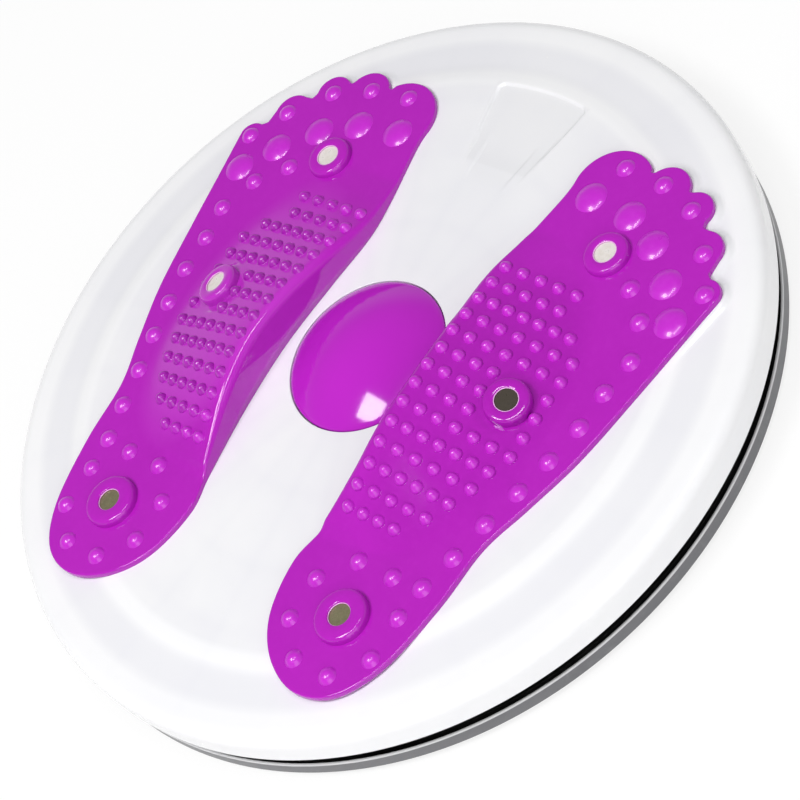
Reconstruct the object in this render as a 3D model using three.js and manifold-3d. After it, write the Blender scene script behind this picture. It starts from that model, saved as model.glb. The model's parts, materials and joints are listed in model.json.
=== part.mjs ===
// Waist twisting disc: a moulded turntable with two foot-shaped massage pads that
// turns on a ring of steel balls above a flat base with rubber feet.
// Millimetres, +Z up, +Y towards the toes, +X towards the right foot.
// Origin: centre of the disc, on the surface that the rubber feet stand on.
import * as THREE from 'three';
import { mergeVertices } from 'three/addons/utils/BufferGeometryUtils.js';
import Module from 'manifold-3d';

const wasm = await Module();
wasm.setup();

// Overall stack, from the floor up
const footProud = 1.5;
const baseFloorWall = 2.5;
const baseRimHeight = 6.2;
const rimGap = 4.9;
const skirtHeight = 11.8;
const shoulderRise = 3.4;
const padThickness = 1.9;

// Running clearances
const seatGap = 0.1;
const fitGap = 0.3;
const overrun = 1;

// Top disc shell
const discRadius = 140;
const discWall = 2.5;
const flatRadius = 112;
const stepWidth = 6;
const stepDrop = 1;
const shoulderRound = 5;
const skirtTuck = 0.4;
const ribCount = 8;
const ribWall = 1.6;
const ribDepth = 6;
const ringRibRadius = 104;
const islandMargin = 0.8;
const markDepth = 0.8;
const markOuterRadius = 110;
const markLength = 34;
const markOuterWidth = 42.8;
const markInnerWidth = 27;
const markCorner = 4;

// Centre cap
const capPadGap = 4.1;
const capDome = 8.5;
const capWall = 1.8;
const capSkirt = 3.3;
const capRim = 0.4;
const capArcShares = [0, 0.4, 0.75, 1];

// Base plate
const baseRadius = 138.9;
const baseWall = 2.5;
const baseRibCount = 8;
const baseRibHeight = 3.5;
const baseEdgeRound = 0.7;
const shieldInset = 4.9;
const shieldWall = 1.8;

// Ball bearing
const trackRadius = 56;
const ballRadius = 3.5;
const ballCount = 12;
const ballPlay = 0.15;
const raceWidth = 7.8;
const raceThickness = 2.4;
const grooveDepth = 1;
const grooveHalfWidth = 3;
const raceSeatHeight = 2;
const raceWall = 2.4;
const raceLipHeight = 1.6;
const cageThickness = 2.4;
const cageWidth = 10.6;
const pocketClearance = 0.35;

// Pivot bolt, nut and washers
const boltRadius = 4;
const boltHeadRadius = 7;
const boltHeadHeight = 3.6;
const nutRadius = 7;
const nutHeight = 4.6;
const threadProud = 0.4;
const washerRadius = 9;
const washerThickness = 1.6;
const hubRadius = 13;
const hubSpacer = 0.6;
const hubFloorWall = 2.8;
const nutPocketRadius = 11;
const coverRadius = 15;
const coverThickness = 1.2;

// Rubber feet
const footCount = 6;
const footRadius = 9;
const footInset = 20.9;
const footSink = 1.2;
const footStemRadius = 2.4;
const footHeadRadius = 3.4;
const footHeadHeight = 1.4;

// Foot pads: outline as shares of the pad's length, taken on the right foot
const padLength = 209.6;
const padSpacing = 140;
const padShift = -6;
const padEdgeRound = 0.7;
const toeShares = [
  { across: 0.1718, along: 0.3133, radius: 0.0262, from: 0, to: 100 },
  { across: 0.1219, along: 0.3791, radius: 0.0351, from: -10, to: 100 },
  { across: 0.0658, along: 0.4369, radius: 0.0334, from: -20, to: 120 },
  { across: -0.0026, along: 0.4545, radius: 0.0425, from: 20, to: 148 },
  { across: -0.0955, along: 0.4291, radius: 0.0711, from: 50, to: 180 },
];
const notchShares = [[0.1574, 0.3464], [0.1011, 0.4146], [0.0406, 0.4637], [-0.0463, 0.4752]];
const soleEdgeShares = [
  [-0.1675, 0.3912], [-0.187, 0.2872], [-0.1942, 0.2152], [-0.1842, 0.1178],
  [-0.1746, -0.0057], [-0.1813, -0.1317], [-0.1985, -0.2548], [-0.2118, -0.3244],
  [-0.1918, -0.4122], [-0.1422, -0.4714], [-0.0701, -0.5], [0, -0.479],
  [0.0477, -0.4079], [0.0735, -0.2915], [0.0825, -0.1837], [0.1112, -0.0988],
  [0.1431, 0.0019], [0.167, 0.1298], [0.1866, 0.2471],
];

// Arch support along the inner edge of each pad
const archHeight = 14.1;
const archWidth = 49;
const archWall = 2.6;
const archPeakY = -12;
const archFrontReach = 79;
const archRearReach = 60;
const archFootReach = 63;
const archCrestInset = 1.6;
const archWallShares = [[0.05, 0], [0.18, 0.5], [0.5, 0.88], [1, 1]];
const archSlopeShares = [0.35, 0.7, 1];
const archSlopePower = 1.24;
const archSpanPower = 0.36;
const coreReachShare = 0.6;

// Massage nubs on the arch: the first and last of each row as shares of the pad's length
const nubsPerRow = [5, 5, 7, 7, 7, 7, 7, 7, 7, 7, 6, 6, 5, 4];
const nubRowShares = [
  [-0.1703, -0.0281], [-0.1684, -0.0358], [-0.1646, 0.0110], [-0.1589, 0.0406],
  [-0.1551, 0.0429], [-0.1489, 0.0415], [-0.1489, 0.0429], [-0.1469, 0.0439],
  [-0.1460, 0.0434], [-0.1455, 0.0272], [-0.1479, 0.0172], [-0.1489, -0.0010],
  [-0.1555, -0.0224], [-0.1570, -0.0630],
];
const nubFrontY = 43.9;
const nubRowPitch = 7.28;
const nubRadius = 2.2;
const nubTipRadius = 1.2;
const nubHeight = 2.5;

// Larger domes: places as shares of the pad's length
const domeTopShare = 0.5;
const toeDomeRadius = 3.6;
const toeDomeHeight = 1.6;
const toeDomeShares = [
  [-0.0926, 0.4680], [-0.0095, 0.4604], [0.0639, 0.4342], [0.1293, 0.3731], [0.1732, 0.3115],
];
const ballDomeRadius = 5.8;
const ballDomeHeight = 1.9;
const ballDomeShares = [
  [-0.1178, 0.4022], [-0.0310, 0.3931], [0.0386, 0.3593], [0.1011, 0.3063], [0.1489, 0.2505],
];
const soleDomeRadius = 3.6;
const soleDomeHeight = 1.6;
const soleDomeShares = [[0.0487, 0.2805], [0.0992, 0.2352]];
const edgeDomeShares = [
  [0.1264, 0.1708], [0.1169, 0.1102], [0.1136, 0.0453], [0.1002, -0.0205],
  [0.0840, -0.0825], [0.0649, -0.1474], [0.0491, -0.2133], [0.0310, -0.2748],
];
const heelDomeCount = 8;
const heelDomeRadius = 3.4;
const heelDomeRing = 20;

// Magnet bosses
const magnetRadius = 5;
const magnetThickness = 3;
const magnetWindowRadius = 4.1;
const bossLip = 0.8;
const heelBossLip = 1.2;
const bossRadius = 8.8;
const bossShoulderShare = 0.7;
const heelBossRadius = 9.8;
const flatBossSink = 1;
const ballBossShares = [-0.0236, 0.3192];
const archBossShares = [-0.0074, 0.032];
const heelBossShares = [-0.0639, -0.3674];
const archBossTilt = THREE.MathUtils.degToRad(16);

// Plugs that hold each pad in the disc
const plugRadius = 3;
const plugHeadRadius = 4;
const plugHeadHeight = 2;
const plugShares = [[-0.0859, 0.4294], [0.0954, 0.0286], [-0.0644, -0.2672]];

// Facets
const roundSides = 52;
const ringSides = 24;
const capSides = 36;
const smallSides = 10;
const hexSides = 6;
const plugSides = 6;
const pocketSides = 8;
const ballRings = 5;
const domeSides = 7;
const nubSides = 4;
const soleSteps = 34;
const toeSteps = 4;
const archRows = 9;
const coreRows = 5;
const weldTolerance = 1e-4;

// Heights that follow from the stack
const baseBottomZ = footProud;
const baseFloorZ = baseBottomZ + baseFloorWall;
const baseRimZ = baseBottomZ + baseRimHeight;
const lipZ = baseRimZ + rimGap;
const shoulderZ = lipZ + skirtHeight;
const discTopZ = shoulderZ + shoulderRise;
const plateZ = discTopZ - discWall;
const capFloorZ = discTopZ - capSkirt - seatGap;
const padTopZ = discTopZ + seatGap + padThickness;
const lowerRaceZ = baseFloorZ + raceSeatHeight + seatGap;
const ballZ = lowerRaceZ + raceThickness - grooveDepth + ballPlay + ballRadius;
const upperRaceZ = ballZ + ballRadius + ballPlay - grooveDepth;
const upperSeatZ = upperRaceZ + raceThickness + seatGap;
const hubTopZ = ballZ + ballPlay + cageThickness / 2;
const hubBottomZ = hubTopZ + hubSpacer + 2 * seatGap;
const hubFloorZ = hubTopZ - hubFloorWall;
const boltBore = boltRadius + fitGap;
const shieldRadius = baseRadius - shieldInset;
const footRing = baseRadius - footInset;

// Finishes
const whitePlastic = new THREE.MeshStandardMaterial({ color: 0xf1f1f4, roughness: 0.28, metalness: 0 });
const padRubber = new THREE.MeshStandardMaterial({ color: 0xb026bc, roughness: 0.3, metalness: 0 });
const capPlastic = new THREE.MeshStandardMaterial({ color: 0xa81cb4, roughness: 0.18, metalness: 0 });
const basePlastic = new THREE.MeshStandardMaterial({ color: 0x7a7a7e, roughness: 0.42, metalness: 0 });
const footRubber = new THREE.MeshStandardMaterial({ color: 0x1a1a1a, roughness: 0.85, metalness: 0 });
const cagePlastic = new THREE.MeshStandardMaterial({ color: 0xe6e0cc, roughness: 0.45, metalness: 0 });
const magnetMetal = new THREE.MeshStandardMaterial({ color: 0x8c8c70, roughness: 0.35, metalness: 0.9 });
const steel = new THREE.MeshStandardMaterial({ color: 0xb8bcc0, roughness: 0.25, metalness: 1 });

// Solids from geometry, with faces turned outwards
function solid(geometry) {
  const bare = new THREE.BufferGeometry();
  bare.setAttribute('position', geometry.getAttribute('position').clone());
  if (geometry.index) bare.setIndex(geometry.index.clone());
  const welded = mergeVertices(bare, weldTolerance);
  const points = welded.getAttribute('position').array;
  const corners = welded.index.array;
  const faces = [];
  let volume = 0;
  for (let i = 0; i < corners.length; i += 3) {
    const [a, b, c] = [corners[i], corners[i + 1], corners[i + 2]];
    if (a === b || b === c || c === a) continue;
    const p = new THREE.Vector3().fromArray(points, 3 * a);
    const q = new THREE.Vector3().fromArray(points, 3 * b);
    const r = new THREE.Vector3().fromArray(points, 3 * c);
    volume += p.dot(q.cross(r));
    faces.push([a, b, c]);
  }
  const triVerts = Uint32Array.from(faces.flatMap(([a, b, c]) => (volume < 0 ? [a, c, b] : [a, b, c])));
  const vertProperties = Float32Array.from(points);
  return new wasm.Manifold(new wasm.Mesh({ numProp: 3, vertProperties, triVerts }));
}

function geometryOf(body) {
  const mesh = body.getMesh();
  const geometry = new THREE.BufferGeometry();
  geometry.setAttribute('position', new THREE.BufferAttribute(mesh.vertProperties, 3));
  geometry.setIndex(new THREE.BufferAttribute(mesh.triVerts, 1));
  return geometry;
}

function revolve(profile, sides) {
  const points = profile.map(([radius, height]) => new THREE.Vector2(radius, height));
  return new THREE.LatheGeometry(points, sides).rotateX(Math.PI / 2);
}

// A ring or tube whose section closes on itself
function revolveRing(profile, sides) {
  return revolve([...profile, profile[0]], sides);
}

function cylinder(radius, bottom, top, sides) {
  const height = top - bottom;
  const geometry = new THREE.CylinderGeometry(radius, radius, height, sides);
  return geometry.rotateX(Math.PI / 2).translate(0, 0, bottom + height / 2);
}

function tube(inner, outer, bottom, top, sides = ringSides) {
  return revolveRing([[inner, bottom], [outer, bottom], [outer, top], [inner, top]], sides);
}

// A solid skin over rings of equal point count, closed by flat ends
function loft(rings) {
  const count = rings[0].length;
  const positions = rings.flat(2);
  const index = [];
  for (let i = 0; i + 1 < rings.length; i += 1) {
    for (let j = 0; j < count; j += 1) {
      const a = i * count + j;
      const b = i * count + (j + 1) % count;
      index.push(a, b, b + count, a, b + count, a + count);
    }
  }
  return { positions, index, count };
}

function closedLoft(rings, flatten) {
  const { positions, index, count } = loft(rings);
  const last = (rings.length - 1) * count;
  const capFaces = (ring) => {
    const contour = ring.map((point) => flatten(point));
    return { contour, faces: THREE.ShapeUtils.triangulateShape(contour, []) };
  };
  const bottom = capFaces(rings[0]);
  const top = capFaces(rings[rings.length - 1]);
  const turned = THREE.ShapeUtils.area(bottom.contour) < 0;
  for (const [a, b, c] of bottom.faces) index.push(...(turned ? [a, b, c] : [a, c, b]));
  for (const [a, b, c] of top.faces) {
    index.push(...(turned ? [last + a, last + c, last + b] : [last + a, last + b, last + c]));
  }
  const geometry = new THREE.BufferGeometry();
  geometry.setAttribute('position', new THREE.Float32BufferAttribute(positions, 3));
  geometry.setIndex(index);
  return geometry;
}

// A radial rib from its outline of radius and height, turned about Z
function radialRib(outline, angle) {
  const rings = [-ribWall / 2, ribWall / 2].map((y) => outline.map(([radius, z]) => [radius, y, z]));
  return closedLoft(rings, ([x, , z]) => new THREE.Vector2(x, z)).rotateZ(angle);
}

// A point of the right pad from its shares of the pad's length
function padPoint([across, along]) {
  return [padSpacing / 2 + across * padLength, padShift + along * padLength];
}

// Outline of the right foot, from the little toe over the big toe and round the heel
function soleOutline() {
  const outline = [];
  toeShares.forEach((toe, i) => {
    const [x, y] = padPoint([toe.across, toe.along]);
    const radius = toe.radius * padLength;
    for (let step = 0; step <= toeSteps; step += 1) {
      const angle = THREE.MathUtils.degToRad(toe.from + (toe.to - toe.from) * step / toeSteps);
      outline.push([x + radius * Math.cos(angle), y + radius * Math.sin(angle)]);
    }
    if (i < notchShares.length) outline.push(padPoint(notchShares[i]));
  });
  const ends = [outline[outline.length - 1], outline[0]];
  const guide = [ends[0], ...soleEdgeShares.map(padPoint), ends[1]];
  const curve = new THREE.SplineCurve(guide.map(([x, y]) => new THREE.Vector2(x, y)));
  const along = curve.getSpacedPoints(soleSteps).slice(1, -1);
  return [...outline, ...along.map((point) => [point.x, point.y])];
}

const sole = soleOutline();

// The cap fills the room that the two pads leave round the axis
const padClearRadius = Math.min(...sole.map(([x, y]) => Math.hypot(x, y)));
const capRadius = padClearRadius - capPadGap;

function offsetOutline(distance) {
  return sole.map((point, i) => {
    const before = sole[(i + sole.length - 1) % sole.length];
    const after = sole[(i + 1) % sole.length];
    const normal = new THREE.Vector2(after[1] - before[1], before[0] - after[0]).normalize();
    return [point[0] + normal.x * distance, point[1] + normal.y * distance];
  });
}

function outlineLoft(levels) {
  const rings = levels.map(([distance, z]) => offsetOutline(distance).map(([x, y]) => [x, y, z]));
  return closedLoft(rings, ([x, y]) => new THREE.Vector2(x, y));
}

// X of the sole's inner edge at a given Y
function innerEdgeX(y) {
  let edge = Infinity;
  sole.forEach((point, i) => {
    const next = sole[(i + 1) % sole.length];
    const crosses = (point[1] - y) * (next[1] - y) <= 0 && point[1] !== next[1];
    if (!crosses) return;
    const share = (y - point[1]) / (next[1] - point[1]);
    edge = Math.min(edge, point[0] + share * (next[0] - point[0]));
  });
  return edge;
}

// Height of the arch's crest and width of its foot at a given Y
function crestRise(y) {
  const reach = y > archPeakY ? archFrontReach : archRearReach;
  const share = Math.min(1, Math.abs(y - archPeakY) / reach);
  return archHeight * (1 - share ** 2) ** 2;
}

function archSpan(y) {
  const share = Math.min(1, Math.abs(y) / archFootReach);
  return archCrestInset + (archWidth - archCrestInset) * (1 - share ** 3) ** archSpanPower;
}

function archRise(x, y) {
  const span = archSpan(y) - archCrestInset;
  const share = Math.min(1, Math.max(0, (x - innerEdgeX(y) - archCrestInset) / span));
  return Math.abs(y) < archFootReach ? crestRise(y) * (1 - share ** archSlopePower) : 0;
}

// One slice of the arch, or of the hollow under it when a wall is taken off
function archSlice(y, wall, bottomZ) {
  const edge = innerEdgeX(y);
  const rise = crestRise(y);
  const span = archSpan(y) - archCrestInset;
  const reachShare = wall > 0 ? coreReachShare : 1;
  const drop = wall > 0 ? wall : seatGap;
  const wallShares = wall > 0 ? archWallShares.slice(1) : archWallShares;
  const wallPoints = wallShares.map(([inset, lift]) => [edge + wall + inset * archCrestInset, lift * rise]);
  const slopePoints = archSlopeShares.map((share) => {
    const out = share * reachShare;
    return [edge + archCrestInset + wall + out * (span - wall), rise * (1 - out ** archSlopePower)];
  });
  const top = [...wallPoints, ...slopePoints].map(([x, lift]) => [x, y, padTopZ - drop + lift]);
  const first = top[0];
  const last = top[top.length - 1];
  return [[first[0], y, bottomZ], ...top, [last[0], y, bottomZ]];
}

function archLoft(rear, front, rows, wall, bottomZ) {
  const slices = [];
  for (let i = 0; i <= rows; i += 1) {
    slices.push(archSlice(rear + (front - rear) * i / rows, wall, bottomZ));
  }
  return closedLoft(slices, ([x, , z]) => new THREE.Vector2(x, z));
}

// Domes, nubs and bosses stand on the pad's surface
function dome(radius, height, sides) {
  const profile = [[0, -padEdgeRound], [radius, -padEdgeRound], [radius, 0]];
  profile.push([domeTopShare * radius, height], [0, height]);
  return revolve(profile, sides);
}

function nub() {
  const profile = [
    [0, -padEdgeRound], [nubRadius, -padEdgeRound], [nubTipRadius, nubHeight], [0, nubHeight],
  ];
  return revolve(profile, nubSides);
}

function bossSolid(radius, lip) {
  const height = magnetThickness + 2 * seatGap + lip;
  const rim = (radius + magnetWindowRadius) / 2;
  const profile = [[0, -padEdgeRound], [radius, -padEdgeRound], [radius, 0]];
  profile.push([(radius + rim) / 2 + padEdgeRound, bossShoulderShare * height]);
  profile.push([rim, height], [0, height]);
  return revolve(profile, smallSides);
}

function bossHollow(lip) {
  const pocket = magnetRadius + fitGap;
  const ceiling = magnetThickness + 2 * seatGap;
  const profile = [[0, 0], [pocket, 0], [pocket, ceiling], [magnetWindowRadius, ceiling]];
  profile.push([magnetWindowRadius, ceiling + lip + overrun], [0, ceiling + lip + overrun]);
  return revolve(profile, smallSides);
}

const bossPlaces = [
  { name: 'ball', shares: ballBossShares, radius: bossRadius, lip: bossLip, tilt: 0, sink: flatBossSink },
  { name: 'arch', shares: archBossShares, radius: bossRadius, lip: bossLip, tilt: archBossTilt, sink: 0 },
  { name: 'heel', shares: heelBossShares, radius: heelBossRadius, lip: heelBossLip, tilt: 0, sink: flatBossSink },
].map((boss) => {
  const [x, y] = padPoint(boss.shares);
  return { ...boss, x, y, z: padTopZ + archRise(x, y) - boss.sink };
});

function placeOnPad(geometry, { x, y, z, tilt }) {
  return geometry.rotateY(tilt).translate(x, y, z);
}

function nubPlaces() {
  const places = [];
  nubsPerRow.forEach((count, row) => {
    const y = nubFrontY - row * nubRowPitch;
    const [first, last] = nubRowShares[row].map((share) => padPoint([share, 0])[0]);
    for (let i = 0; i < count; i += 1) {
      const x = first + (last - first) * i / (count - 1);
      const clear = bossPlaces.every((boss) => (
        Math.hypot(boss.x - x, boss.y - y) > boss.radius + nubTipRadius
      ));
      if (clear) places.push([x, y]);
    }
  });
  return places;
}

function domePlaces() {
  const heel = padPoint(heelBossShares);
  const places = [];
  const add = (shares, radius, height) => {
    shares.forEach((share) => places.push({ point: padPoint(share), radius, height }));
  };
  add(toeDomeShares, toeDomeRadius, toeDomeHeight);
  add(ballDomeShares, ballDomeRadius, ballDomeHeight);
  add(soleDomeShares, soleDomeRadius, soleDomeHeight);
  add(edgeDomeShares, soleDomeRadius, soleDomeHeight);
  for (let i = 0; i < heelDomeCount; i += 1) {
    const angle = 2 * Math.PI * (i + 0.5) / heelDomeCount;
    const point = [heel[0] + heelDomeRing * Math.cos(angle), heel[1] + heelDomeRing * Math.sin(angle)];
    places.push({ point, radius: heelDomeRadius, height: toeDomeHeight });
  }
  return places;
}

function plug() {
  const neckZ = plateZ - seatGap;
  const headZ = neckZ - plugHeadHeight;
  const topZ = padTopZ - padEdgeRound;
  const profile = [
    [0, headZ], [plugRadius, headZ], [plugHeadRadius, neckZ - seatGap], [plugHeadRadius, neckZ],
    [plugRadius, neckZ], [plugRadius, topZ], [0, topZ],
  ];
  return revolve(profile, plugSides);
}

// The right pad; the left one is its mirror image
function footPad() {
  const bottomZ = discTopZ + seatGap;
  const edgeZ = padTopZ - padEdgeRound;
  let pad = solid(outlineLoft([[0, bottomZ], [0, edgeZ], [-padEdgeRound, padTopZ]]));
  pad = pad.add(solid(archLoft(-archFootReach, archFootReach, archRows, 0, bottomZ + padEdgeRound)));
  const coreRear = archPeakY - archRearReach / 2;
  const coreFront = archPeakY + archFrontReach / 2;
  pad = pad.subtract(solid(archLoft(coreRear, coreFront, coreRows, archWall, bottomZ - overrun)));
  for (const { point: [x, y], radius, height } of domePlaces()) {
    pad = pad.add(solid(dome(radius, height, domeSides).translate(x, y, padTopZ)));
  }
  for (const [x, y] of nubPlaces()) {
    pad = pad.add(solid(nub().translate(x, y, padTopZ + archRise(x, y))));
  }
  for (const boss of bossPlaces) {
    pad = pad.add(solid(placeOnPad(bossSolid(boss.radius, boss.lip), boss)));
    pad = pad.subtract(solid(placeOnPad(bossHollow(boss.lip), boss)));
  }
  for (const share of plugShares) {
    const [x, y] = padPoint(share);
    pad = pad.add(solid(plug().translate(x, y, 0)));
  }
  return pad;
}

function mirrored(geometry) {
  const flipped = geometry.clone().scale(-1, 1, 1);
  const corners = flipped.index.array;
  for (let i = 0; i < corners.length; i += 3) [corners[i], corners[i + 1]] = [corners[i + 1], corners[i]];
  return flipped;
}

// Top disc: one moulded shell with its hub, race seat, ribs and pad islands
function topDisc() {
  const shoulderRadius = discRadius - shoulderRound;
  const lean = shoulderRound * Math.SQRT1_2;
  const roundZ = shoulderZ - lean;
  const bandZ = discTopZ - stepDrop;
  const shoulderTopZ = roundZ + shoulderRound;
  const capRecess = capRadius + capRim;
  const hubCeilingZ = capFloorZ - discWall;
  const raceInner = trackRadius - raceWidth / 2 - fitGap;
  const raceOuter = trackRadius + raceWidth / 2 + fitGap;
  const raceLipZ = upperSeatZ - raceLipHeight;
  const skirtInner = discRadius - discWall;
  const tuck = discRadius - skirtTuck;
  const profile = [
    [boltBore, capFloorZ], [capRecess, capFloorZ], [capRecess, discTopZ], [flatRadius, discTopZ],
    [flatRadius + stepWidth, bandZ], [shoulderRadius, shoulderTopZ],
    [shoulderRadius + lean, shoulderZ], [discRadius, roundZ], [tuck, lipZ], [tuck - discWall, lipZ],
    [skirtInner, roundZ], [shoulderRadius, shoulderTopZ - discWall],
    [flatRadius + stepWidth, bandZ - discWall], [flatRadius, plateZ],
    [capRecess + discWall, plateZ], [capRecess + discWall, hubCeilingZ], [boltBore, hubCeilingZ],
  ];
  let disc = solid(revolveRing(profile, roundSides));
  const walls = [
    [boltBore, hubRadius, hubBottomZ, hubCeilingZ],
    [raceInner - raceWall, raceInner, raceLipZ, plateZ],
    [raceOuter, raceOuter + raceWall, raceLipZ, plateZ],
    [ringRibRadius, ringRibRadius + ribWall, plateZ - ribDepth, plateZ],
  ];
  for (const [inner, outer, bottom, top] of walls) {
    disc = disc.add(solid(tube(inner, outer, bottom, top + seatGap)));
  }
  const ribZ = plateZ - ribDepth;
  const rib = [
    [hubRadius - ribWall, ribZ], [raceInner - ribWall, ribZ], [raceInner - ribWall, upperSeatZ],
    [raceOuter + ribWall, upperSeatZ], [raceOuter + ribWall, ribZ], [shoulderRadius, ribZ],
    [shoulderRadius, plateZ + seatGap], [capRecess + ribWall, plateZ + seatGap],
    [capRecess + ribWall, hubCeilingZ + seatGap], [hubRadius - ribWall, hubCeilingZ + seatGap],
  ];
  for (let i = 0; i < ribCount; i += 1) {
    disc = disc.add(solid(radialRib(rib, 2 * Math.PI * (i + 0.5) / ribCount)));
  }
  const island = outlineLoft([[islandMargin, bandZ - discWall / 2], [islandMargin, discTopZ]]);
  disc = disc.add(solid(island)).add(solid(mirrored(island)));
  const holes = plugShares.map(padPoint).flatMap(([x, y]) => [[x, y], [-x, y]]);
  for (const [x, y] of holes) {
    const hole = cylinder(plugRadius + fitGap, plateZ - overrun, discTopZ + overrun, plugSides);
    disc = disc.subtract(solid(hole.translate(x, y, 0)));
  }
  return disc.subtract(solid(toeMark()));
}

// Shallow keystone-shaped recess between the toes
function toeMark() {
  const inner = markOuterRadius - markLength;
  const corners = [
    [-markOuterWidth / 2, markOuterRadius], [-markInnerWidth / 2, inner],
    [markInnerWidth / 2, inner], [markOuterWidth / 2, markOuterRadius],
  ];
  const outline = corners.flatMap(([x, y], i) => {
    const before = corners[(i + 3) % corners.length];
    const after = corners[(i + 1) % corners.length];
    return [before, after].map((other) => {
      const way = new THREE.Vector2(other[0] - x, other[1] - y).setLength(markCorner);
      return [x + way.x, y + way.y];
    });
  });
  const levels = [discTopZ - markDepth, discTopZ + overrun];
  const rings = levels.map((z) => outline.map(([x, y]) => [x, y, z]));
  return closedLoft(rings, ([x, y]) => new THREE.Vector2(x, y));
}

// Base plate with its rim, race seat, hub, ribs and sockets for the feet
function basePlate() {
  const raceInner = trackRadius - raceWidth / 2 - fitGap;
  const raceOuter = trackRadius + raceWidth / 2 + fitGap;
  const raceLipZ = baseFloorZ + raceSeatHeight + raceLipHeight;
  const rimInner = baseRadius - baseWall;
  const rebateZ = baseBottomZ + coverThickness + seatGap;
  const profile = [
    [hubRadius - overrun, baseFloorZ], [rimInner, baseFloorZ], [rimInner, baseRimZ],
    [baseRadius - baseEdgeRound, baseRimZ], [baseRadius, baseRimZ - baseEdgeRound],
    [baseRadius - baseEdgeRound, baseBottomZ], [hubRadius - overrun, baseBottomZ],
  ];
  const hub = [
    [boltBore, hubTopZ], [hubRadius, hubTopZ], [hubRadius, baseFloorZ], [coverRadius + ribWall, baseFloorZ],
    [coverRadius + ribWall, baseBottomZ], [coverRadius + fitGap, baseBottomZ],
    [coverRadius + fitGap, rebateZ], [nutPocketRadius, rebateZ],
    [nutPocketRadius, hubFloorZ], [boltBore, hubFloorZ],
  ];
  const cover = cylinder(coverRadius + fitGap, baseBottomZ - overrun, rebateZ, ringSides);
  let base = solid(revolveRing(profile, roundSides)).subtract(solid(cover));
  base = base.add(solid(revolveRing(hub, ringSides)));
  for (const [inner, outer] of [[raceInner - raceWall, raceInner], [raceOuter, raceOuter + raceWall]]) {
    base = base.add(solid(tube(inner, outer, baseFloorZ - seatGap, raceLipZ)));
  }
  const shieldTopZ = plateZ - ribDepth - fitGap * 2;
  const shield = tube(shieldRadius - shieldWall, shieldRadius, baseFloorZ - seatGap, shieldTopZ, roundSides);
  base = base.add(solid(shield));
  const seatZ = baseFloorZ + raceSeatHeight;
  const ribZ = baseFloorZ + baseRibHeight;
  const rib = [
    [raceInner - ribWall, baseFloorZ - seatGap], [rimInner + ribWall, baseFloorZ - seatGap],
    [rimInner + ribWall, ribZ], [raceOuter + ribWall, ribZ], [raceOuter + ribWall, seatZ],
    [raceInner - ribWall, seatZ],
  ];
  for (let i = 0; i < baseRibCount; i += 1) {
    base = base.add(solid(radialRib(rib, 2 * Math.PI * (i + 0.5) / baseRibCount)));
  }
  for (let i = 0; i < footCount; i += 1) {
    const angle = 2 * Math.PI * i / footCount;
    const [x, y] = [footRing * Math.cos(angle), footRing * Math.sin(angle)];
    const socketTop = baseBottomZ + footSink;
    const socket = cylinder(footRadius + fitGap, baseBottomZ - overrun, socketTop, smallSides);
    const hole = cylinder(footStemRadius + fitGap, baseBottomZ, baseFloorZ + overrun, smallSides);
    base = base.subtract(solid(socket.translate(x, y, 0))).subtract(solid(hole.translate(x, y, 0)));
  }
  return base;
}

// Ball race: a steel ring with a groove that faces up in the base and down in the disc
function race(facesUp) {
  const way = facesUp ? 1 : -1;
  const flatZ = facesUp ? lowerRaceZ : upperRaceZ + raceThickness;
  const inner = trackRadius - raceWidth / 2;
  const outer = trackRadius + raceWidth / 2;
  const profile = [
    [inner, 0], [outer, 0], [outer, raceThickness], [trackRadius + grooveHalfWidth, raceThickness],
    [trackRadius + grooveHalfWidth / 2, raceThickness - grooveDepth],
    [trackRadius - grooveHalfWidth / 2, raceThickness - grooveDepth],
    [trackRadius - grooveHalfWidth, raceThickness], [inner, raceThickness],
  ];
  return revolveRing(profile.map(([radius, height]) => [radius, flatZ + way * height]), ringSides);
}

function ballCage() {
  const [low, high] = [ballZ - cageThickness / 2, ballZ + cageThickness / 2];
  const [inner, outer] = [trackRadius - cageWidth / 2, trackRadius + cageWidth / 2];
  let cage = solid(tube(inner, outer, low, high));
  for (let i = 0; i < ballCount; i += 1) {
    const angle = 2 * Math.PI * i / ballCount;
    const pocket = cylinder(ballRadius + pocketClearance, low - overrun, high + overrun, pocketSides);
    cage = cage.subtract(solid(pocket.translate(trackRadius, 0, 0).rotateZ(angle)));
  }
  return cage;
}

// Centre cap: a thin dome with a skirt that snaps into the disc
function centreCap() {
  const bend = (capRadius ** 2 + capDome ** 2) / (2 * capDome);
  const centreZ = discTopZ + capDome - bend;
  const arc = (radius, shares) => shares.map((share) => {
    const across = share * (capRadius - capWall);
    return [across, centreZ + Math.sqrt(radius ** 2 - across ** 2)];
  });
  const outer = arc(bend, capArcShares);
  const inner = arc(bend - capWall, capArcShares).reverse();
  const skirtZ = discTopZ - capSkirt;
  const skirt = [[capRadius, discTopZ], [capRadius, skirtZ], [capRadius - capWall, skirtZ]];
  return revolve([...outer, ...skirt, ...inner], capSides);
}

function washer(bore, radius, bottom, thickness) {
  const top = bottom + thickness;
  return revolveRing([[bore, bottom], [radius, bottom], [radius, top], [bore, top]], smallSides);
}

const headWasherZ = capFloorZ + seatGap;
const headZ = headWasherZ + washerThickness + seatGap;
const lowerWasherZ = hubFloorZ - seatGap - washerThickness;
const nutZ = lowerWasherZ - seatGap - nutHeight;

function pivotBolt() {
  const shank = solid(cylinder(boltRadius, nutZ - threadProud, headZ + seatGap, smallSides));
  return shank.add(solid(cylinder(boltHeadRadius, headZ, headZ + boltHeadHeight, hexSides)));
}

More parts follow.
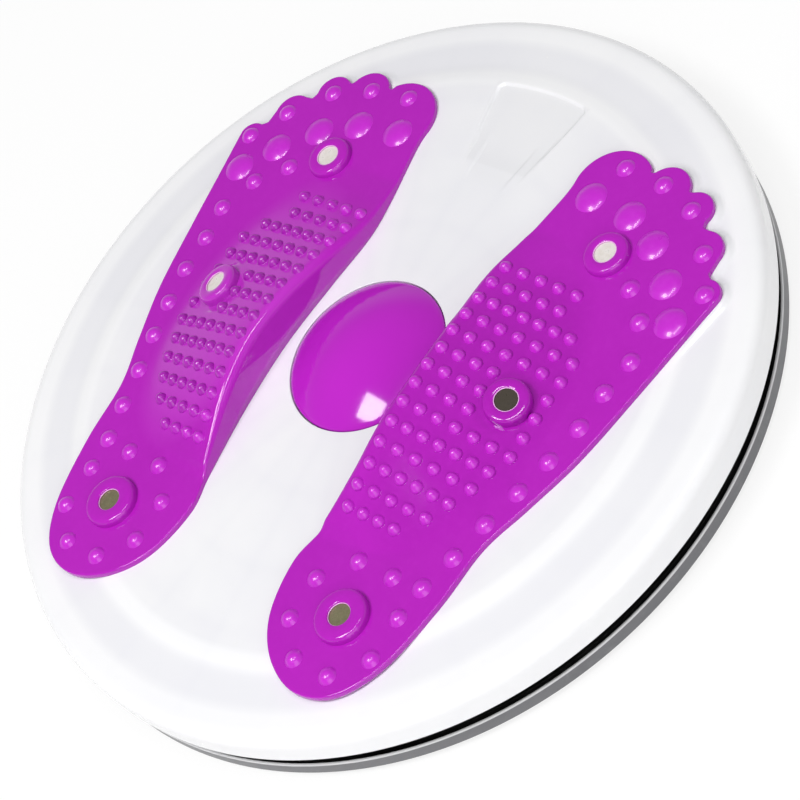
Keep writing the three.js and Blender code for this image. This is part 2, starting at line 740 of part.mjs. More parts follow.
function lockNut() {
  const body = solid(cylinder(nutRadius, nutZ, nutZ + nutHeight, hexSides));
  const bore = cylinder(boltBore, nutZ - overrun, nutZ + nutHeight + overrun, smallSides);
  return body.subtract(solid(bore));
}

function rubberFoot() {
  const padZ = baseBottomZ + footSink - seatGap;
  const neckZ = baseFloorZ + seatGap;
  const profile = [
    [0, 0], [footRadius - padEdgeRound, 0], [footRadius, padEdgeRound], [footRadius, padZ],
    [footStemRadius, padZ], [footStemRadius, neckZ], [footHeadRadius, neckZ],
    [footStemRadius, neckZ + footHeadHeight], [0, neckZ + footHeadHeight],
  ];
  return revolve(profile, smallSides);
}

// The assembly: base, ball cage and turntable, each a group of named pieces
const disc = new THREE.Group();
const base = new THREE.Group();
const bearing = new THREE.Group();
const turntable = new THREE.Group();
disc.add(base, bearing, turntable);

function piece(parent, name, shape, material) {
  const geometry = shape.isBufferGeometry ? geometryOf(solid(shape)) : geometryOf(shape);
  const mesh = new THREE.Mesh(geometry, material);
  mesh.name = name;
  parent.add(mesh);
  return mesh;
}

piece(base, 'base_plate', basePlate(), basePlastic);
piece(base, 'lower_race', race(true), steel);
piece(base, 'hub_spacer', washer(boltBore, hubRadius, hubTopZ + seatGap, hubSpacer), cagePlastic);
piece(base, 'lower_washer', washer(boltBore, washerRadius, lowerWasherZ, washerThickness), steel);
const nutCover = cylinder(coverRadius, baseBottomZ, baseBottomZ + coverThickness, 2 * smallSides);
piece(base, 'nut_cover', nutCover, basePlastic);
for (let i = 0; i < footCount; i += 1) {
  const angle = 2 * Math.PI * i / footCount;
  const foot = piece(base, `rubber_foot_${i + 1}`, rubberFoot(), footRubber);
  foot.position.set(footRing * Math.cos(angle), footRing * Math.sin(angle), 0);
}

piece(bearing, 'ball_cage', ballCage(), cagePlastic);
for (let i = 0; i < ballCount; i += 1) {
  const angle = 2 * Math.PI * i / ballCount;
  const sphere = new THREE.SphereGeometry(ballRadius, pocketSides, ballRings);
  const ball = piece(bearing, `ball_${i + 1}`, sphere, steel);
  ball.position.set(trackRadius * Math.cos(angle), trackRadius * Math.sin(angle), ballZ);
}

piece(turntable, 'top_disc', topDisc(), whitePlastic);
piece(turntable, 'upper_race', race(false), steel);
piece(turntable, 'centre_cap', centreCap(), capPlastic);
piece(turntable, 'pivot_bolt', pivotBolt(), steel);
piece(turntable, 'head_washer', washer(boltBore, washerRadius, headWasherZ, washerThickness), steel);
piece(turntable, 'lock_nut', lockNut(), steel);

const rightPad = geometryOf(footPad());
for (const [side, way] of [['left', -1], ['right', 1]]) {
  const padGeometry = way > 0 ? rightPad : mirrored(rightPad);
  piece(turntable, `${side}_foot_pad`, solid(padGeometry), padRubber);
  for (const boss of bossPlaces) {
    const magnet = piece(
      turntable,
      `${side}_${boss.name}_magnet`,
      cylinder(magnetRadius, seatGap, seatGap + magnetThickness, smallSides),
      magnetMetal,
    );
    magnet.position.set(way * boss.x, boss.y, boss.z);
    magnet.rotation.y = way * boss.tilt;
  }
}

export default disc;
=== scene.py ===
# Waist twisting disc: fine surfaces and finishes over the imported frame.
import json
import math

import bmesh
import bpy
import numpy as np
from mathutils import Matrix, Vector
from mathutils.geometry import delaunay_2d_cdt


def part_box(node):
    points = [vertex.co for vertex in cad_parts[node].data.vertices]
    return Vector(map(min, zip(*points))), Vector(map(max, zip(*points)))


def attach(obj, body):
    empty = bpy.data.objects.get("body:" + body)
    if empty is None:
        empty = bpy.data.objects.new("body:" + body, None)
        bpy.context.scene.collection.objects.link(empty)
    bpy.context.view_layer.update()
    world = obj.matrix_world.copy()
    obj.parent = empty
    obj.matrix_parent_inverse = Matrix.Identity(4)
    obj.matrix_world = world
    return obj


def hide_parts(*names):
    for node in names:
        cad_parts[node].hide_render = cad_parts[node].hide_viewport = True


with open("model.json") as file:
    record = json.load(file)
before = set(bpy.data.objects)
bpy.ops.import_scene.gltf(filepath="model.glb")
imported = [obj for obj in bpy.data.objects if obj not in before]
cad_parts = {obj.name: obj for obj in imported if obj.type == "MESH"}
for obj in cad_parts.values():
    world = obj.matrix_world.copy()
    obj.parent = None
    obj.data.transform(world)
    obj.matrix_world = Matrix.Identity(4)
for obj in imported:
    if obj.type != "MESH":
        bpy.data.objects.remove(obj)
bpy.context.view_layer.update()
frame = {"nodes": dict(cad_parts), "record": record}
mm = 0.001
print("stage: frame loaded,", len(frame["nodes"]), "nodes")


# Small tools

def nodeBox(node):
    low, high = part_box(node)
    return np.array(low) / mm, np.array(high) / mm


def easeBetween(low, high, value):
    # 0 below low, 1 above high, and 3s^2 - 2s^3 of the share s between them
    share = np.clip((value - low) / (high - low), 0, 1)
    return share * share * (3 - 2 * share)


def softPositive(value, softness):
    # (v + sqrt(v^2 + k^2)) / 2: follows v where it is positive and fades out below
    return 0.5 * (value + np.sqrt(value ** 2 + softness ** 2))


def roundedChain(corners, closed, steps=8):
    # Each corner (radius, height, round) becomes the quadratic curve
    # (1-s)^2 A + 2s(1-s) C + s^2 B, which leaves and meets its sides "round" away from C
    places = np.array([corner[:2] for corner in corners], float)
    shares = np.linspace(0, 1, steps)[:, None]
    chain = []
    for i, here in enumerate(places):
        size = corners[i][2]
        atEnd = not closed and i in (0, len(corners) - 1)
        if size == 0 or atEnd:
            chain.append(here[None, :])
            continue
        before = places[i - 1] - here
        after = places[(i + 1) % len(corners)] - here
        start = here + before * min(0.5, size / np.linalg.norm(before))
        end = here + after * min(0.5, size / np.linalg.norm(after))
        chain.append((1 - shares) ** 2 * start + 2 * shares * (1 - shares) * here + shares ** 2 * end)
    chain = np.concatenate(chain)
    return np.concatenate([chain, chain[:1]]) if closed else chain


def refined(chain, step):
    # The same chain with no stretch longer than step, which may be a function of radius
    rows = []
    for start, end in zip(chain[:-1], chain[1:]):
        limit = step(0.5 * (start[0] + end[0])) if callable(step) else step
        count = max(1, math.ceil(np.linalg.norm(end - start) / limit))
        shares = np.arange(count)[:, None] / count
        rows.append(start * (1 - shares) + end * shares)
    rows.append(chain[-1:])
    return np.concatenate(rows)


def turned(profile, angles):
    # x = r cos a, y = r sin a, z = h, for each profile point (r, h) and each angle a
    radius = profile[:, :1]
    height = np.repeat(profile[:, 1:2], len(angles), axis=1)
    return np.stack([radius * np.cos(angles), radius * np.sin(angles), height], axis=-1)


def evenAngles(sides):
    return np.linspace(0, 2 * math.pi, sides, endpoint=False)


def gridFaces(rows, columns, wrap):
    # Quads between neighbouring rows and columns, with the last column joined to the first
    across = columns if wrap else columns - 1
    row = np.arange(rows - 1)[:, None] * columns
    here = np.arange(across)[None, :]
    beside = (here + 1) % columns
    quads = np.stack([row + here, row + beside, row + columns + beside, row + columns + here], axis=-1)
    return quads.reshape(-1, 4)


def makePiece(name, points, faces, body, slot, stands=(), sharp=None, finish=None):
    # A mesh from points in millimetres, merged at its poles, with its faces turned outwards
    mesh = bpy.data.meshes.new(name)
    mesh.from_pydata((np.asarray(points).reshape(-1, 3) * mm).tolist(), [], [list(face) for face in faces])
    work = bmesh.new()
    work.from_mesh(mesh)
    bmesh.ops.remove_doubles(work, verts=work.verts, dist=1e-7)
    bmesh.ops.dissolve_degenerate(work, edges=work.edges, dist=1e-8)
    bmesh.ops.recalc_face_normals(work, faces=work.faces)
    work.to_mesh(mesh)
    work.free()
    mesh.shade_smooth()
    if sharp is not None:
        mesh.set_sharp_from_angle(angle=math.radians(sharp))
    piece = bpy.data.objects.new(name, mesh)
    bpy.context.scene.collection.objects.link(piece)
    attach(piece, body)
    if stands:
        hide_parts(*stands)
    mesh.materials.append(finishes[finish or slot].material)
    return piece


def turnedPiece(name, corners, body, slot, stands=(), sides=128, step=4.0, closed=True, centre=(0, 0), steps=8):
    profile = refined(roundedChain(corners, closed, steps), step)
    points = turned(profile, evenAngles(sides))
    points[..., 0] += centre[0]
    points[..., 1] += centre[1]
    return makePiece(name, points, gridFaces(len(profile), sides, True), body, slot, stands)


# Finishes

disc = {
    "flatRadius": 112.0, "stepWidth": 6.0, "stepDrop": 1.0, "shoulderRound": 5.0, "shoulderRise": 3.4,
    "skirtTuck": 0.4, "wall": 2.5, "capGap": 0.4, "bore": 4.3, "markDepth": 0.8, "markSoft": 0.8,
    "markInner": 78.5, "markArc": 111.5, "markInnerWidth": 28.2, "markSpread": 0.232, "markCorners": (10.0, 4.0),
    "islandMargin": 0.8, "islandSlope": 1.4, "angles": 620, "crowding": 2.6, "crowdReach": 0.3,
    "markStep": 0.6, "outerStep": 1.0, "innerStep": 6.0,
}


class Value:
    # A socket in a node tree: arithmetic on it adds Math nodes
    def __init__(self, graph, socket):
        self.graph = graph
        self.socket = socket

    def join(self, operation, first, second=0.0):
        return self.graph.node("ShaderNodeMath", {"operation": operation}, {0: first, 1: second})

    def __add__(self, other):
        return self.join("ADD", self, other)

    def __radd__(self, other):
        return self.join("ADD", other, self)

    def __sub__(self, other):
        return self.join("SUBTRACT", self, other)

    def __rsub__(self, other):
        return self.join("SUBTRACT", other, self)

    def __mul__(self, other):
        return self.join("MULTIPLY", self, other)

    def __rmul__(self, other):
        return self.join("MULTIPLY", other, self)

    def __truediv__(self, other):
        return self.join("DIVIDE", self, other)

    def power(self, other):
        return self.join("POWER", self, other)

    def fraction(self):
        return self.join("FRACT", self)

    def size(self):
        return self.join("ABSOLUTE", self)


class Graph:
    # A node tree whose nodes come from one method
    def __init__(self, tree):
        self.tree = tree

    def node(self, kind, settings, inputs, output=0):
        made = self.tree.nodes.new(kind)
        for key, setting in settings.items():
            if key == "stops":
                self.setStops(made.color_ramp, setting)
            else:
                setattr(made, key, setting)
        for key, given in inputs.items():
            if isinstance(given, Value):
                self.tree.links.new(given.socket, made.inputs[key])
            else:
                made.inputs[key].default_value = given
        return Value(self, made.outputs[output])

    def outputs(self, kind, inputs, names):
        # Several outputs of one new node
        first = self.node(kind, {}, inputs, names[0])
        return [Value(self, first.socket.node.outputs[name]) for name in names]

    def setStops(self, ramp, stops):
        while len(ramp.elements) < len(stops):
            ramp.elements.new(1.0)
        for element, (position, level) in zip(ramp.elements, stops):
            element.position = position
            element.color = (level, level, level, 1.0)


class Finish(Graph):
    # One material: a Principled shader, and the nodes that change it over the surface
    def __init__(self, name, roughness=0.4, metallic=0.0, coat=0.0, coatRoughness=0.05, specular=0.5):
        self.material = bpy.data.materials.new(name)
        self.material.use_nodes = True
        super().__init__(self.material.node_tree)
        self.shader = self.tree.nodes["Principled BSDF"]
        fixed = {"Roughness": roughness, "Metallic": metallic, "Coat Weight": coat}
        fixed.update({"Coat Roughness": coatRoughness, "Specular IOR Level": specular, "IOR": 1.46})
        for socket, number in fixed.items():
            self.shader.inputs[socket].default_value = number
        self.place = self.node("ShaderNodeTexCoord", {}, {}, "Object")

    def noise(self, scale, detail=2.0, roughness=0.5, place=None):
        inputs = {"Vector": place or self.place, "Scale": scale, "Detail": detail, "Roughness": roughness}
        return self.node("ShaderNodeTexNoise", {}, inputs, "Fac")

    def levels(self, value, stops):
        return self.node("ShaderNodeValToRGB", {"stops": stops}, {"Fac": value}, "Color")

    def step(self, value, start, width):
        # 0 up to start, rising to 1 over the width
        return self.levels((value - start) / width, [(0.0, 0.0), (1.0, 1.0)])

    def patches(self, grain, low, high):
        # Noise of that grain, stretched to 0 below low and 1 above high
        return self.levels(self.noise(*grain), [(low, 0.0), (high, 1.0)])

    def mixColour(self, factor, first, second):
        # Colours may be given as three numbers
        first, second = [(*colour, 1.0) if isinstance(colour, tuple) else colour for colour in (first, second)]
        inputs = {0: factor, 6: first, 7: second}
        return self.node("ShaderNodeMix", {"data_type": "RGBA"}, inputs, 2)

    def stretched(self, factors):
        # Object coordinates scaled by a different factor along each axis
        inputs = {0: self.place, 1: factors}
        return self.node("ShaderNodeVectorMath", {"operation": "MULTIPLY"}, inputs)

    def axes(self):
        # The object's own x, y and z in metres
        return self.outputs("ShaderNodeSeparateXYZ", {0: self.place}, ("X", "Y", "Z"))

    def keystone(self, radius, x, y):
        # Distance outside the toe mark in metres, negative within its four sides
        inner = disc["markInner"] * mm
        side = x.size() - (y - inner) * disc["markSpread"] - 0.5 * disc["markInnerWidth"] * mm
        ends = y.join("MAXIMUM", radius - disc["markArc"] * mm, inner - y)
        return side.join("MAXIMUM", side, ends)

    def ridge(self, distance, width):
        # exp(-(d / w)^2): 1 on the line, fading to 0 a few widths away
        share = distance / width
        return share.join("EXPONENT", -1.0 * (share * share))

    def feed(self, socket, value):
        self.tree.links.new(value.socket, self.shader.inputs[socket])

    def bump(self, height, strength, distance):
        inputs = {"Height": height, "Strength": strength, "Distance": distance}
        self.feed("Normal", self.node("ShaderNodeBump", {}, inputs, "Normal"))


def discFinish():
    # White moulding whose inner ribs show through as faint lines, with painted light on the ring at its step and on
    # its outer shoulder, and painted shade on the lower band between them
    look = {
        "white": (0.87, 0.87, 0.885), "shade": (0.79, 0.79, 0.83), "scuff": (0.82, 0.815, 0.81),
        # rim is the pale colour of the painted light on the step ring and the shoulder
        "rim": (0.97, 0.97, 0.975), "mark": (0.78, 0.78, 0.80),
        "spokes": 24, "spokeWidth": 0.0022, "rings": (0.053, 0.081, 0.104), "ringWidth": 0.0026,
        "cloudGrain": (22, 3, 0.55), "cloudShare": 0.55, "ribShare": 0.10, "ribCloudShare": 0.16,
        "litBandStart": 0.109, "litBandWidth": 0.025, "shadedBandStart": 0.115, "shadedBandWidth": 0.016, "shadedBandShare": 0.5,
        "litBandStops": [(0.0, 0.0), (0.09, 0.4), (0.25, 0.4), (0.36, 0.0), (0.72, 0.0), (0.86, 0.4)],
        "shadedBandStops": [(0.0, 0.0), (0.25, 1.0), (0.7, 1.0), (1.0, 0.0)],
        "markBlur": 0.001, "markShare": 0.45, "wearGrain": (260, 4, 0.7), "wearShare": 0.25,
    }
    made = Finish("disc_plastic", roughness=0.2, coat=0.3, coatRoughness=0.08)
    x, y = made.axes()[:2]
    radius = (x * x + y * y).power(0.5)
    turn = y.join("ARCTAN2", y, x) / (2 * math.pi)
    spoke = ((turn * look["spokes"]).fraction() - 0.5).size() * radius * (2 * math.pi / look["spokes"])
    ribs = made.ridge(spoke, look["spokeWidth"])
    for ring in look["rings"]:
        ribs = ribs + made.ridge(radius - ring, look["ringWidth"])
    cloud = made.patches(look["cloudGrain"], 0.35, 0.65)
    body = made.mixColour(cloud * look["cloudShare"], look["white"], look["shade"])
    body = made.mixColour(ribs * (look["ribShare"] + look["ribCloudShare"] * cloud), body, look["shade"])
    # Painted light: the ring at the step and the outer shoulder are paled towards the rim colour
    pale = made.levels((radius - look["litBandStart"]) / look["litBandWidth"], look["litBandStops"])
    body = made.mixColour(pale, body, look["rim"])
    # Painted shade: the lower band beyond the step is darkened towards the shade colour
    shadedBand = made.levels((radius - look["shadedBandStart"]) / look["shadedBandWidth"], look["shadedBandStops"])
    body = made.mixColour(shadedBand * look["shadedBandShare"], body, look["shade"])
    mark = 1.0 - made.step(made.keystone(radius, x, y), -0.5 * look["markBlur"], look["markBlur"])
    body = made.mixColour(mark * look["markShare"], body, look["mark"])
    wear = made.patches(look["wearGrain"], 0.62, 0.74)
    made.feed("Base Color", made.mixColour(wear * look["wearShare"], body, look["scuff"]))
    made.feed("Roughness", 0.17 + 0.07 * made.noise(60, 3) + 0.08 * wear)
    made.bump(made.noise(140, 2) + 0.3 * made.noise(900, 2), 0.05, 0.0004)
    return made


def padFinish(name, look):
    # Glossy soft vinyl: even colour with a slight cloud, fine skin and rubbed high spots
    made = Finish(name, roughness=0.16, coat=look["coat"], coatRoughness=0.05)
    body = made.mixColour(made.patches((28, 2), 0.3, 0.7) * 0.5, look["vinyl"], look["deep"])
    if "nubLightAndShade" in look:
        # Painted light and shade on an oval on each arch, where the nubs stand: the skin there is painted darker on
        # the right pad and paler on the left, and the nubs darker on the left
        (middleX, middleY), (reachX, reachY) = nubShadeField["middle"], nubShadeField["reach"]
        x, y = made.axes()[:2]
        oval = ((x.size() - middleX) / reachX).power(2) + ((y - middleY) / reachY).power(2)
        inside = 1.0 - made.step(oval, nubShadeField["edgeStart"], nubShadeField["edgeWidth"])
        sideShading = made.mixColour(made.step(x, 0.0, nubShadeField["sideBlur"]), *look["nubLightAndShade"])
        body = made.mixColour(inside * nubShadeField["share"], body, sideShading)
    worn = made.patches((420, 4, 0.65), 0.45, 0.75)
    made.feed("Base Color", made.mixColour(worn * look["wear"], body, look["rubbed"]))
    made.feed("Roughness", look["gloss"] + 0.04 * made.noise(90, 3) + 0.10 * worn * look["wear"])
    made.bump(made.noise(55, 1) + 0.12 * made.noise(1400, 2), 0.06, 0.0006)
    return made


def capFinish():
    look = {"gloss": (0.50, 0.016, 0.55), "deep": (0.45, 0.013, 0.50), "scratchStretch": (1.0, 0.12, 1.0)}
    made = Finish("cap_plastic", roughness=0.09, coat=0.2, coatRoughness=0.06)
    made.feed("Base Color", made.mixColour(made.patches((36, 2), 0.3, 0.7) * 0.5, look["gloss"], look["deep"]))
    scratches = made.patches((700, 3, 0.7, made.stretched(look["scratchStretch"])), 0.55, 0.8)
    made.feed("Roughness", 0.08 + 0.05 * made.noise(80, 3) + 0.06 * scratches)
    made.bump(made.noise(40, 1) + 0.02 * scratches, 0.03, 0.0005)
    return made


def baseFinish():
    # Grey satin moulding with a fine spark-eroded grain, with painted shade near black in its trough and a painted
    # highlight along its rim's outer top edge
    look = {
        "grey": (0.165, 0.165, 0.175), "dark": (0.12, 0.12, 0.13), "dust": (0.30, 0.30, 0.30),
        # edge is the pale colour of a painted highlight on the rim's outer top edge
        "gapShade": (0.012, 0.012, 0.012), "edge": (0.62, 0.62, 0.63),
        "gapShadeRadius": 0.1315, "lipRadius": 0.1377, "floorHeight": 0.003, "highlightHeight": 0.0069,
        "dustShare": 0.35, "coarseBlur": 0.0005, "fineBlur": 0.0003,
    }
    made = Finish("base_plastic", roughness=0.36)
    x, y, z = made.axes()
    radius = (x * x + y * y).power(0.5)
    body = made.mixColour(made.noise(40, 3), look["grey"], look["dark"])
    dust = made.patches((180, 5, 0.7), 0.55, 0.8)
    body = made.mixColour(dust * look["dustShare"], body, look["dust"])
    # Painted highlight: a pale line along the outer top edge of the rim
    outer = made.step(radius, look["lipRadius"], look["fineBlur"])
    high = made.step(z, look["highlightHeight"], look["fineBlur"])
    body = made.mixColour(high * outer, body, look["edge"])
    # Painted shade: the trough between the shield wall and the rim, under the disc's skirt, is near black
    beyond = made.step(radius, look["gapShadeRadius"], look["coarseBlur"])
    above = made.step(z, look["floorHeight"], look["coarseBlur"])
    made.feed("Base Color", made.mixColour(beyond * (1.0 - outer) * above, body, look["gapShade"]))
    made.feed("Roughness", 0.30 + 0.12 * made.noise(300, 3) + 0.12 * dust)
    made.bump(made.noise(2600, 2), 0.12, 0.0002)
    return made


def rubberFinish():
    look = {"black": (0.012, 0.012, 0.013), "dusty": (0.05, 0.048, 0.045)}
    made = Finish("foot_rubber", roughness=0.8, specular=0.3)
    made.feed("Base Color", made.mixColour(made.patches((500, 5, 0.7), 0.4, 0.8) * 0.6, look["black"], look["dusty"]))
    made.feed("Roughness", 0.68 + 0.2 * made.noise(800, 3))
    made.bump(made.noise(3500, 3), 0.35, 0.0002)
    return made


def nylonFinish():
    look = {"nylon": (0.76, 0.72, 0.60), "aged": (0.62, 0.56, 0.42)}
    made = Finish("nylon", roughness=0.4)
    made.feed("Base Color", made.mixColour(made.noise(120, 4), look["nylon"], look["aged"]))
    made.feed("Roughness", 0.32 + 0.15 * made.noise(400, 3))
    made.bump(made.noise(1800, 2), 0.15, 0.0002)
    return made


def steelFinish():
    # Zinc-plated pressings, rubbed in fine lines
    look = {"zinc": (0.50, 0.51, 0.53), "stain": (0.36, 0.35, 0.30), "lineStretch": (0.08, 1.0, 1.0)}
    made = Finish("steel", roughness=0.3, metallic=1.0)
    stain = made.patches((240, 5, 0.65), 0.45, 0.8)
    made.feed("Base Color", made.mixColour(stain * 0.5, look["zinc"], look["stain"]))
    lines = made.noise(1500, 2, 0.5, made.stretched(look["lineStretch"]))
    made.feed("Roughness", 0.20 + 0.16 * lines + 0.1 * stain)
    made.bump(lines, 0.1, 0.0001)
    return made


def ballFinish():
    look = {"bright": (0.60, 0.61, 0.63), "grease": (0.42, 0.36, 0.22)}
    made = Finish("ball_steel", roughness=0.08, metallic=1.0)
    grease = made.patches((600, 3, 0.6), 0.5, 0.75)
    made.feed("Base Color", made.mixColour(grease * 0.4, look["bright"], look["grease"]))
    made.feed("Roughness", 0.06 + 0.2 * grease)
    made.bump(grease, 0.05, 0.0001)
    return made


def magnetFinish(name, look):
    # Nickel-plated discs, mottled grey-green
    made = Finish(name, roughness=0.35, metallic=look["metallic"])
    mottle = made.patches((520, 5, 0.7), 0.35, 0.7)
    made.feed("Base Color", made.mixColour(mottle, look["nickel"], look["dull"]))
    made.feed("Roughness", 0.26 + 0.22 * mottle)
    made.bump(mottle, 0.12, 0.0001)
    return made


# One nickel plating in three copies: dark is it in painted shade, pale is it in painted light
magnetLooks = {
    "olive": {"nickel": (0.45, 0.42, 0.25), "dull": (0.26, 0.245, 0.145), "metallic": 0.75},
    "dark": {"nickel": (0.10, 0.085, 0.065), "dull": (0.06, 0.05, 0.04), "metallic": 0.6},
    "pale": {"nickel": (0.90, 0.86, 0.82), "dull": (0.78, 0.73, 0.67), "metallic": 0.2},
}
# Where the painted light and shade lies over the nubs of each arch
nubShadeField = {
    "middle": (0.057, -0.003), "reach": (0.027, 0.052), "edgeStart": 0.7, "edgeWidth": 0.5,
    "sideBlur": 0.01, "share": 0.8,
}
vinylLooks = {
    "skin": {
        "vinyl": (0.455, 0.013, 0.49), "deep": (0.412, 0.010, 0.45), "rubbed": (0.53, 0.03, 0.57),
        "wear": 0.15, "coat": 0.15, "gloss": 0.07,
        # Painted sheen on the left arch's skin, painted shade between the nubs on the right
        "nubLightAndShade": [(0.52, 0.035, 0.56), (0.385, 0.009, 0.42)],
    },
    # The nubs and domes: a paler copy of the skin's vinyl, painted light on the raised shapes
    "raised": {
        "vinyl": (0.56, 0.020, 0.61), "deep": (0.51, 0.015, 0.56), "rubbed": (0.63, 0.06, 0.68),
        "wear": 0.25, "coat": 0.4, "gloss": 0.26,
        # Nubs painted in shade on the left arch
        "nubLightAndShade": [(0.34, 0.008, 0.38), (0.56, 0.020, 0.61)],
    },
    # The bead round each magnet's mouth: pale vinyl painted as a highlight line
    "lip": {
        "vinyl": (0.80, 0.42, 0.78), "deep": (0.72, 0.32, 0.70), "rubbed": (0.90, 0.60, 0.88),
        "wear": 0.5, "coat": 0.15, "gloss": 0.13,
    },
}
finishes = {
    "disc_plastic": discFinish(),
    "pad_vinyl": padFinish("pad_vinyl", vinylLooks["skin"]),
    "padRaisedLit": padFinish("pad_vinyl_raised_lit", vinylLooks["raised"]),
    "padLipHighlight": padFinish("pad_vinyl_lip_highlight", vinylLooks["lip"]),
    "cap_plastic": capFinish(),
    "base_plastic": baseFinish(),
    "foot_rubber": rubberFinish(),
    "nylon": nylonFinish(),
    "steel": steelFinish(),
    "ball_steel": ballFinish(),
    "magnet": magnetFinish("magnet", magnetLooks["olive"]),
    "magnetShaded": magnetFinish("magnet_shaded", magnetLooks["dark"]),
    "magnetLit": magnetFinish("magnet_lit", magnetLooks["pale"]),
}
# The magnets given the painted shade and painted light copies of the nickel
paintedMagnetLooks = {
    "left_ball_magnet": "magnetLit", "right_ball_magnet": "magnetLit", "left_arch_magnet": "magnetLit",
    "right_arch_magnet": "magnetShaded",
}
slots = {part["node"]: part["material_slot"] for part in frame["record"]["subparts"]}
for nodeName, node in frame["nodes"].items():
    node.data.materials.clear()
    node.data.materials.append(finishes[paintedMagnetLooks.get(nodeName, slots[nodeName])].material)
print("stage: finishes made")


# Foot pads: their outline, as shares of the pad's length on the right foot

pad = {
    "length": 209.6, "spacing": 140.0, "shift": -6.0, "thickness": 1.9, "seat": 0.1,
    "edgeRound": 3.2, "roundShare": 0.28, "edgeInset": 1.2, "draft": 0.02, "sink": 0.15, "flatInset": 0.2,
    "grid": 1.1, "gridEdge": 0.7, "outlineStep": 0.25, "roundAngles": (0, 84, 8), "wallShares": (0.0, 0.35, 0.7, 1.0),
    "toeShares": [
        (0.1718, 0.3133, 0.0262, 0, 100), (0.1219, 0.3791, 0.0351, -10, 100),
        (0.0658, 0.4369, 0.0334, -20, 120), (-0.0026, 0.4545, 0.0425, 20, 148),
        (-0.0955, 0.4291, 0.0711, 50, 180),
    ],
    "notchShares": [(0.1574, 0.3464), (0.1011, 0.4146), (0.0406, 0.4637), (-0.0463, 0.4752)],
    "edgeShares": [
        (-0.1675, 0.3912), (-0.187, 0.2872), (-0.1942, 0.2152), (-0.1842, 0.1178),
        (-0.1746, -0.0057), (-0.1813, -0.1317), (-0.1985, -0.2548), (-0.2118, -0.3244),
        (-0.1918, -0.4122), (-0.1422, -0.4714), (-0.0701, -0.5), (0, -0.479),
        (0.0477, -0.4079), (0.0735, -0.2915), (0.0825, -0.1837), (0.1112, -0.0988),
        (0.1431, 0.0019), (0.167, 0.1298), (0.1866, 0.2471),
    ],
    "bigToeShare": (-0.1666, 0.4291), "innerHeelShare": (-0.2118, -0.3244),
}
arch = {
    "height": 14.1, "width": 49.0, "crestInset": 1.6, "slopePower": 1.24, "spanPower": 0.36,
    "peakY": -12.0, "frontReach": 79.0, "rearReach": 60.0, "footReach": 63.0, "endFade": 6.0, "footSoft": 0.09,
}
nubs = {
    "perRow": [5, 5, 7, 7, 7, 7, 7, 7, 7, 7, 6, 6, 5, 4], "frontY": 43.9, "rowPitch": 7.28,
    "rowShares": [
        (-0.1703, -0.0281), (-0.1684, -0.0358), (-0.1656, 0.0095), (-0.1612, 0.0375), (-0.1584, 0.0396),
        (-0.1522, 0.0382), (-0.1522, 0.0396), (-0.1502, 0.0406), (-0.1493, 0.0401), (-0.1488, 0.0239),
        (-0.1512, 0.0139), (-0.1522, -0.0060), (-0.1588, -0.0285), (-0.1603, -0.0690),
    ],
    "radius": 2.35, "height": 2.3, "power": 2.5, "clearance": 1.7, "sides": 12, "rings": 5,
}
bumpSink = 1.5
domeGrid = {"sides": 28, "rings": 8}
domes = {
    "toe": {
        "radius": 3.45, "height": 1.8, "power": 2.6,
        "shares": [(-0.0926, 0.4680), (-0.0095, 0.4604), (0.0639, 0.4342), (0.1293, 0.3731), (0.1732, 0.3115)],
    },
    "ball": {
        "radius": 5.8, "height": 1.6, "power": 2.8,
        "shares": [(-0.1178, 0.4022), (-0.0310, 0.3931), (0.0386, 0.3593), (0.1011, 0.3063), (0.1489, 0.2505)],
    },
    "sole": {
        "radius": 3.5, "height": 2.1, "power": 2.4,
        "shares": [
            (0.0487, 0.2805), (0.0992, 0.2352), (0.1264, 0.1708), (0.1169, 0.1102), (0.1136, 0.0453),
            (0.1002, -0.0205), (0.0840, -0.0825), (0.0649, -0.1474), (0.0491, -0.2133), (0.0310, -0.2748),
        ],
    },
}
heelRing = {"count": 8, "ring": 20.0, "radius": 3.3, "height": 2.1, "power": 2.4}
bosses = {
    "ball": {"radius": 8.2, "lip": 0.8, "tilt": 0.0, "crest": 5.9, "shoulder": 2.2, "fall": 0.6, "mouthRound": 0.9},
    "arch": {
        "radius": 8.1, "lip": 0.8, "tilt": math.radians(16), "crest": 5.9, "shoulder": 2.2, "fall": 0.6,
        "mouthRound": 0.9,
    },
    "heel": {"radius": 9.6, "lip": 1.2, "tilt": 0.0, "crest": 6.4, "shoulder": 2.0, "fall": 0.5, "mouthRound": 0.6},
}
bossShape = {
    "sink": 1.5, "crestRound": 2.0, "mouthDrop": 0.3, "flange": 1.3, "wall": 1.5, "clearance": 0.02, "step": 0.8,
    "sides": 96, "beadRadius": 0.22, "beadLift": 0.2, "beadSides": 64, "level": (0.5, 3.5),
}
magnet = {"thickness": 3.0, "seat": 0.1, "window": 4.1}
discTop = nodeBox("top_disc")[1][2]
padTop = discTop + pad["seat"] + pad["thickness"]


def padPlaces(shares):
    return np.array([pad["spacing"] / 2, pad["shift"]]) + np.array(shares) * pad["length"]


def catmullRom(points, perSpan=24):
    # (2b + (c-a)s + (2a-5b+4c-d)s^2 + (3b-a-3c+d)s^3) / 2 between b and c, for neighbours a, b, c, d
    padded = np.concatenate([points[:1], points, points[-1:]])
    a, b, c, d = [padded[i:len(padded) - 3 + i, None, :] for i in range(4)]
    s = (np.arange(perSpan) / perSpan)[None, :, None]
    spans = 2 * b + (c - a) * s + (2 * a - 5 * b + 4 * c - d) * s ** 2 + (3 * b - a - 3 * c + d) * s ** 3
    return np.concatenate([0.5 * spans.reshape(-1, 2), points[-1:]])


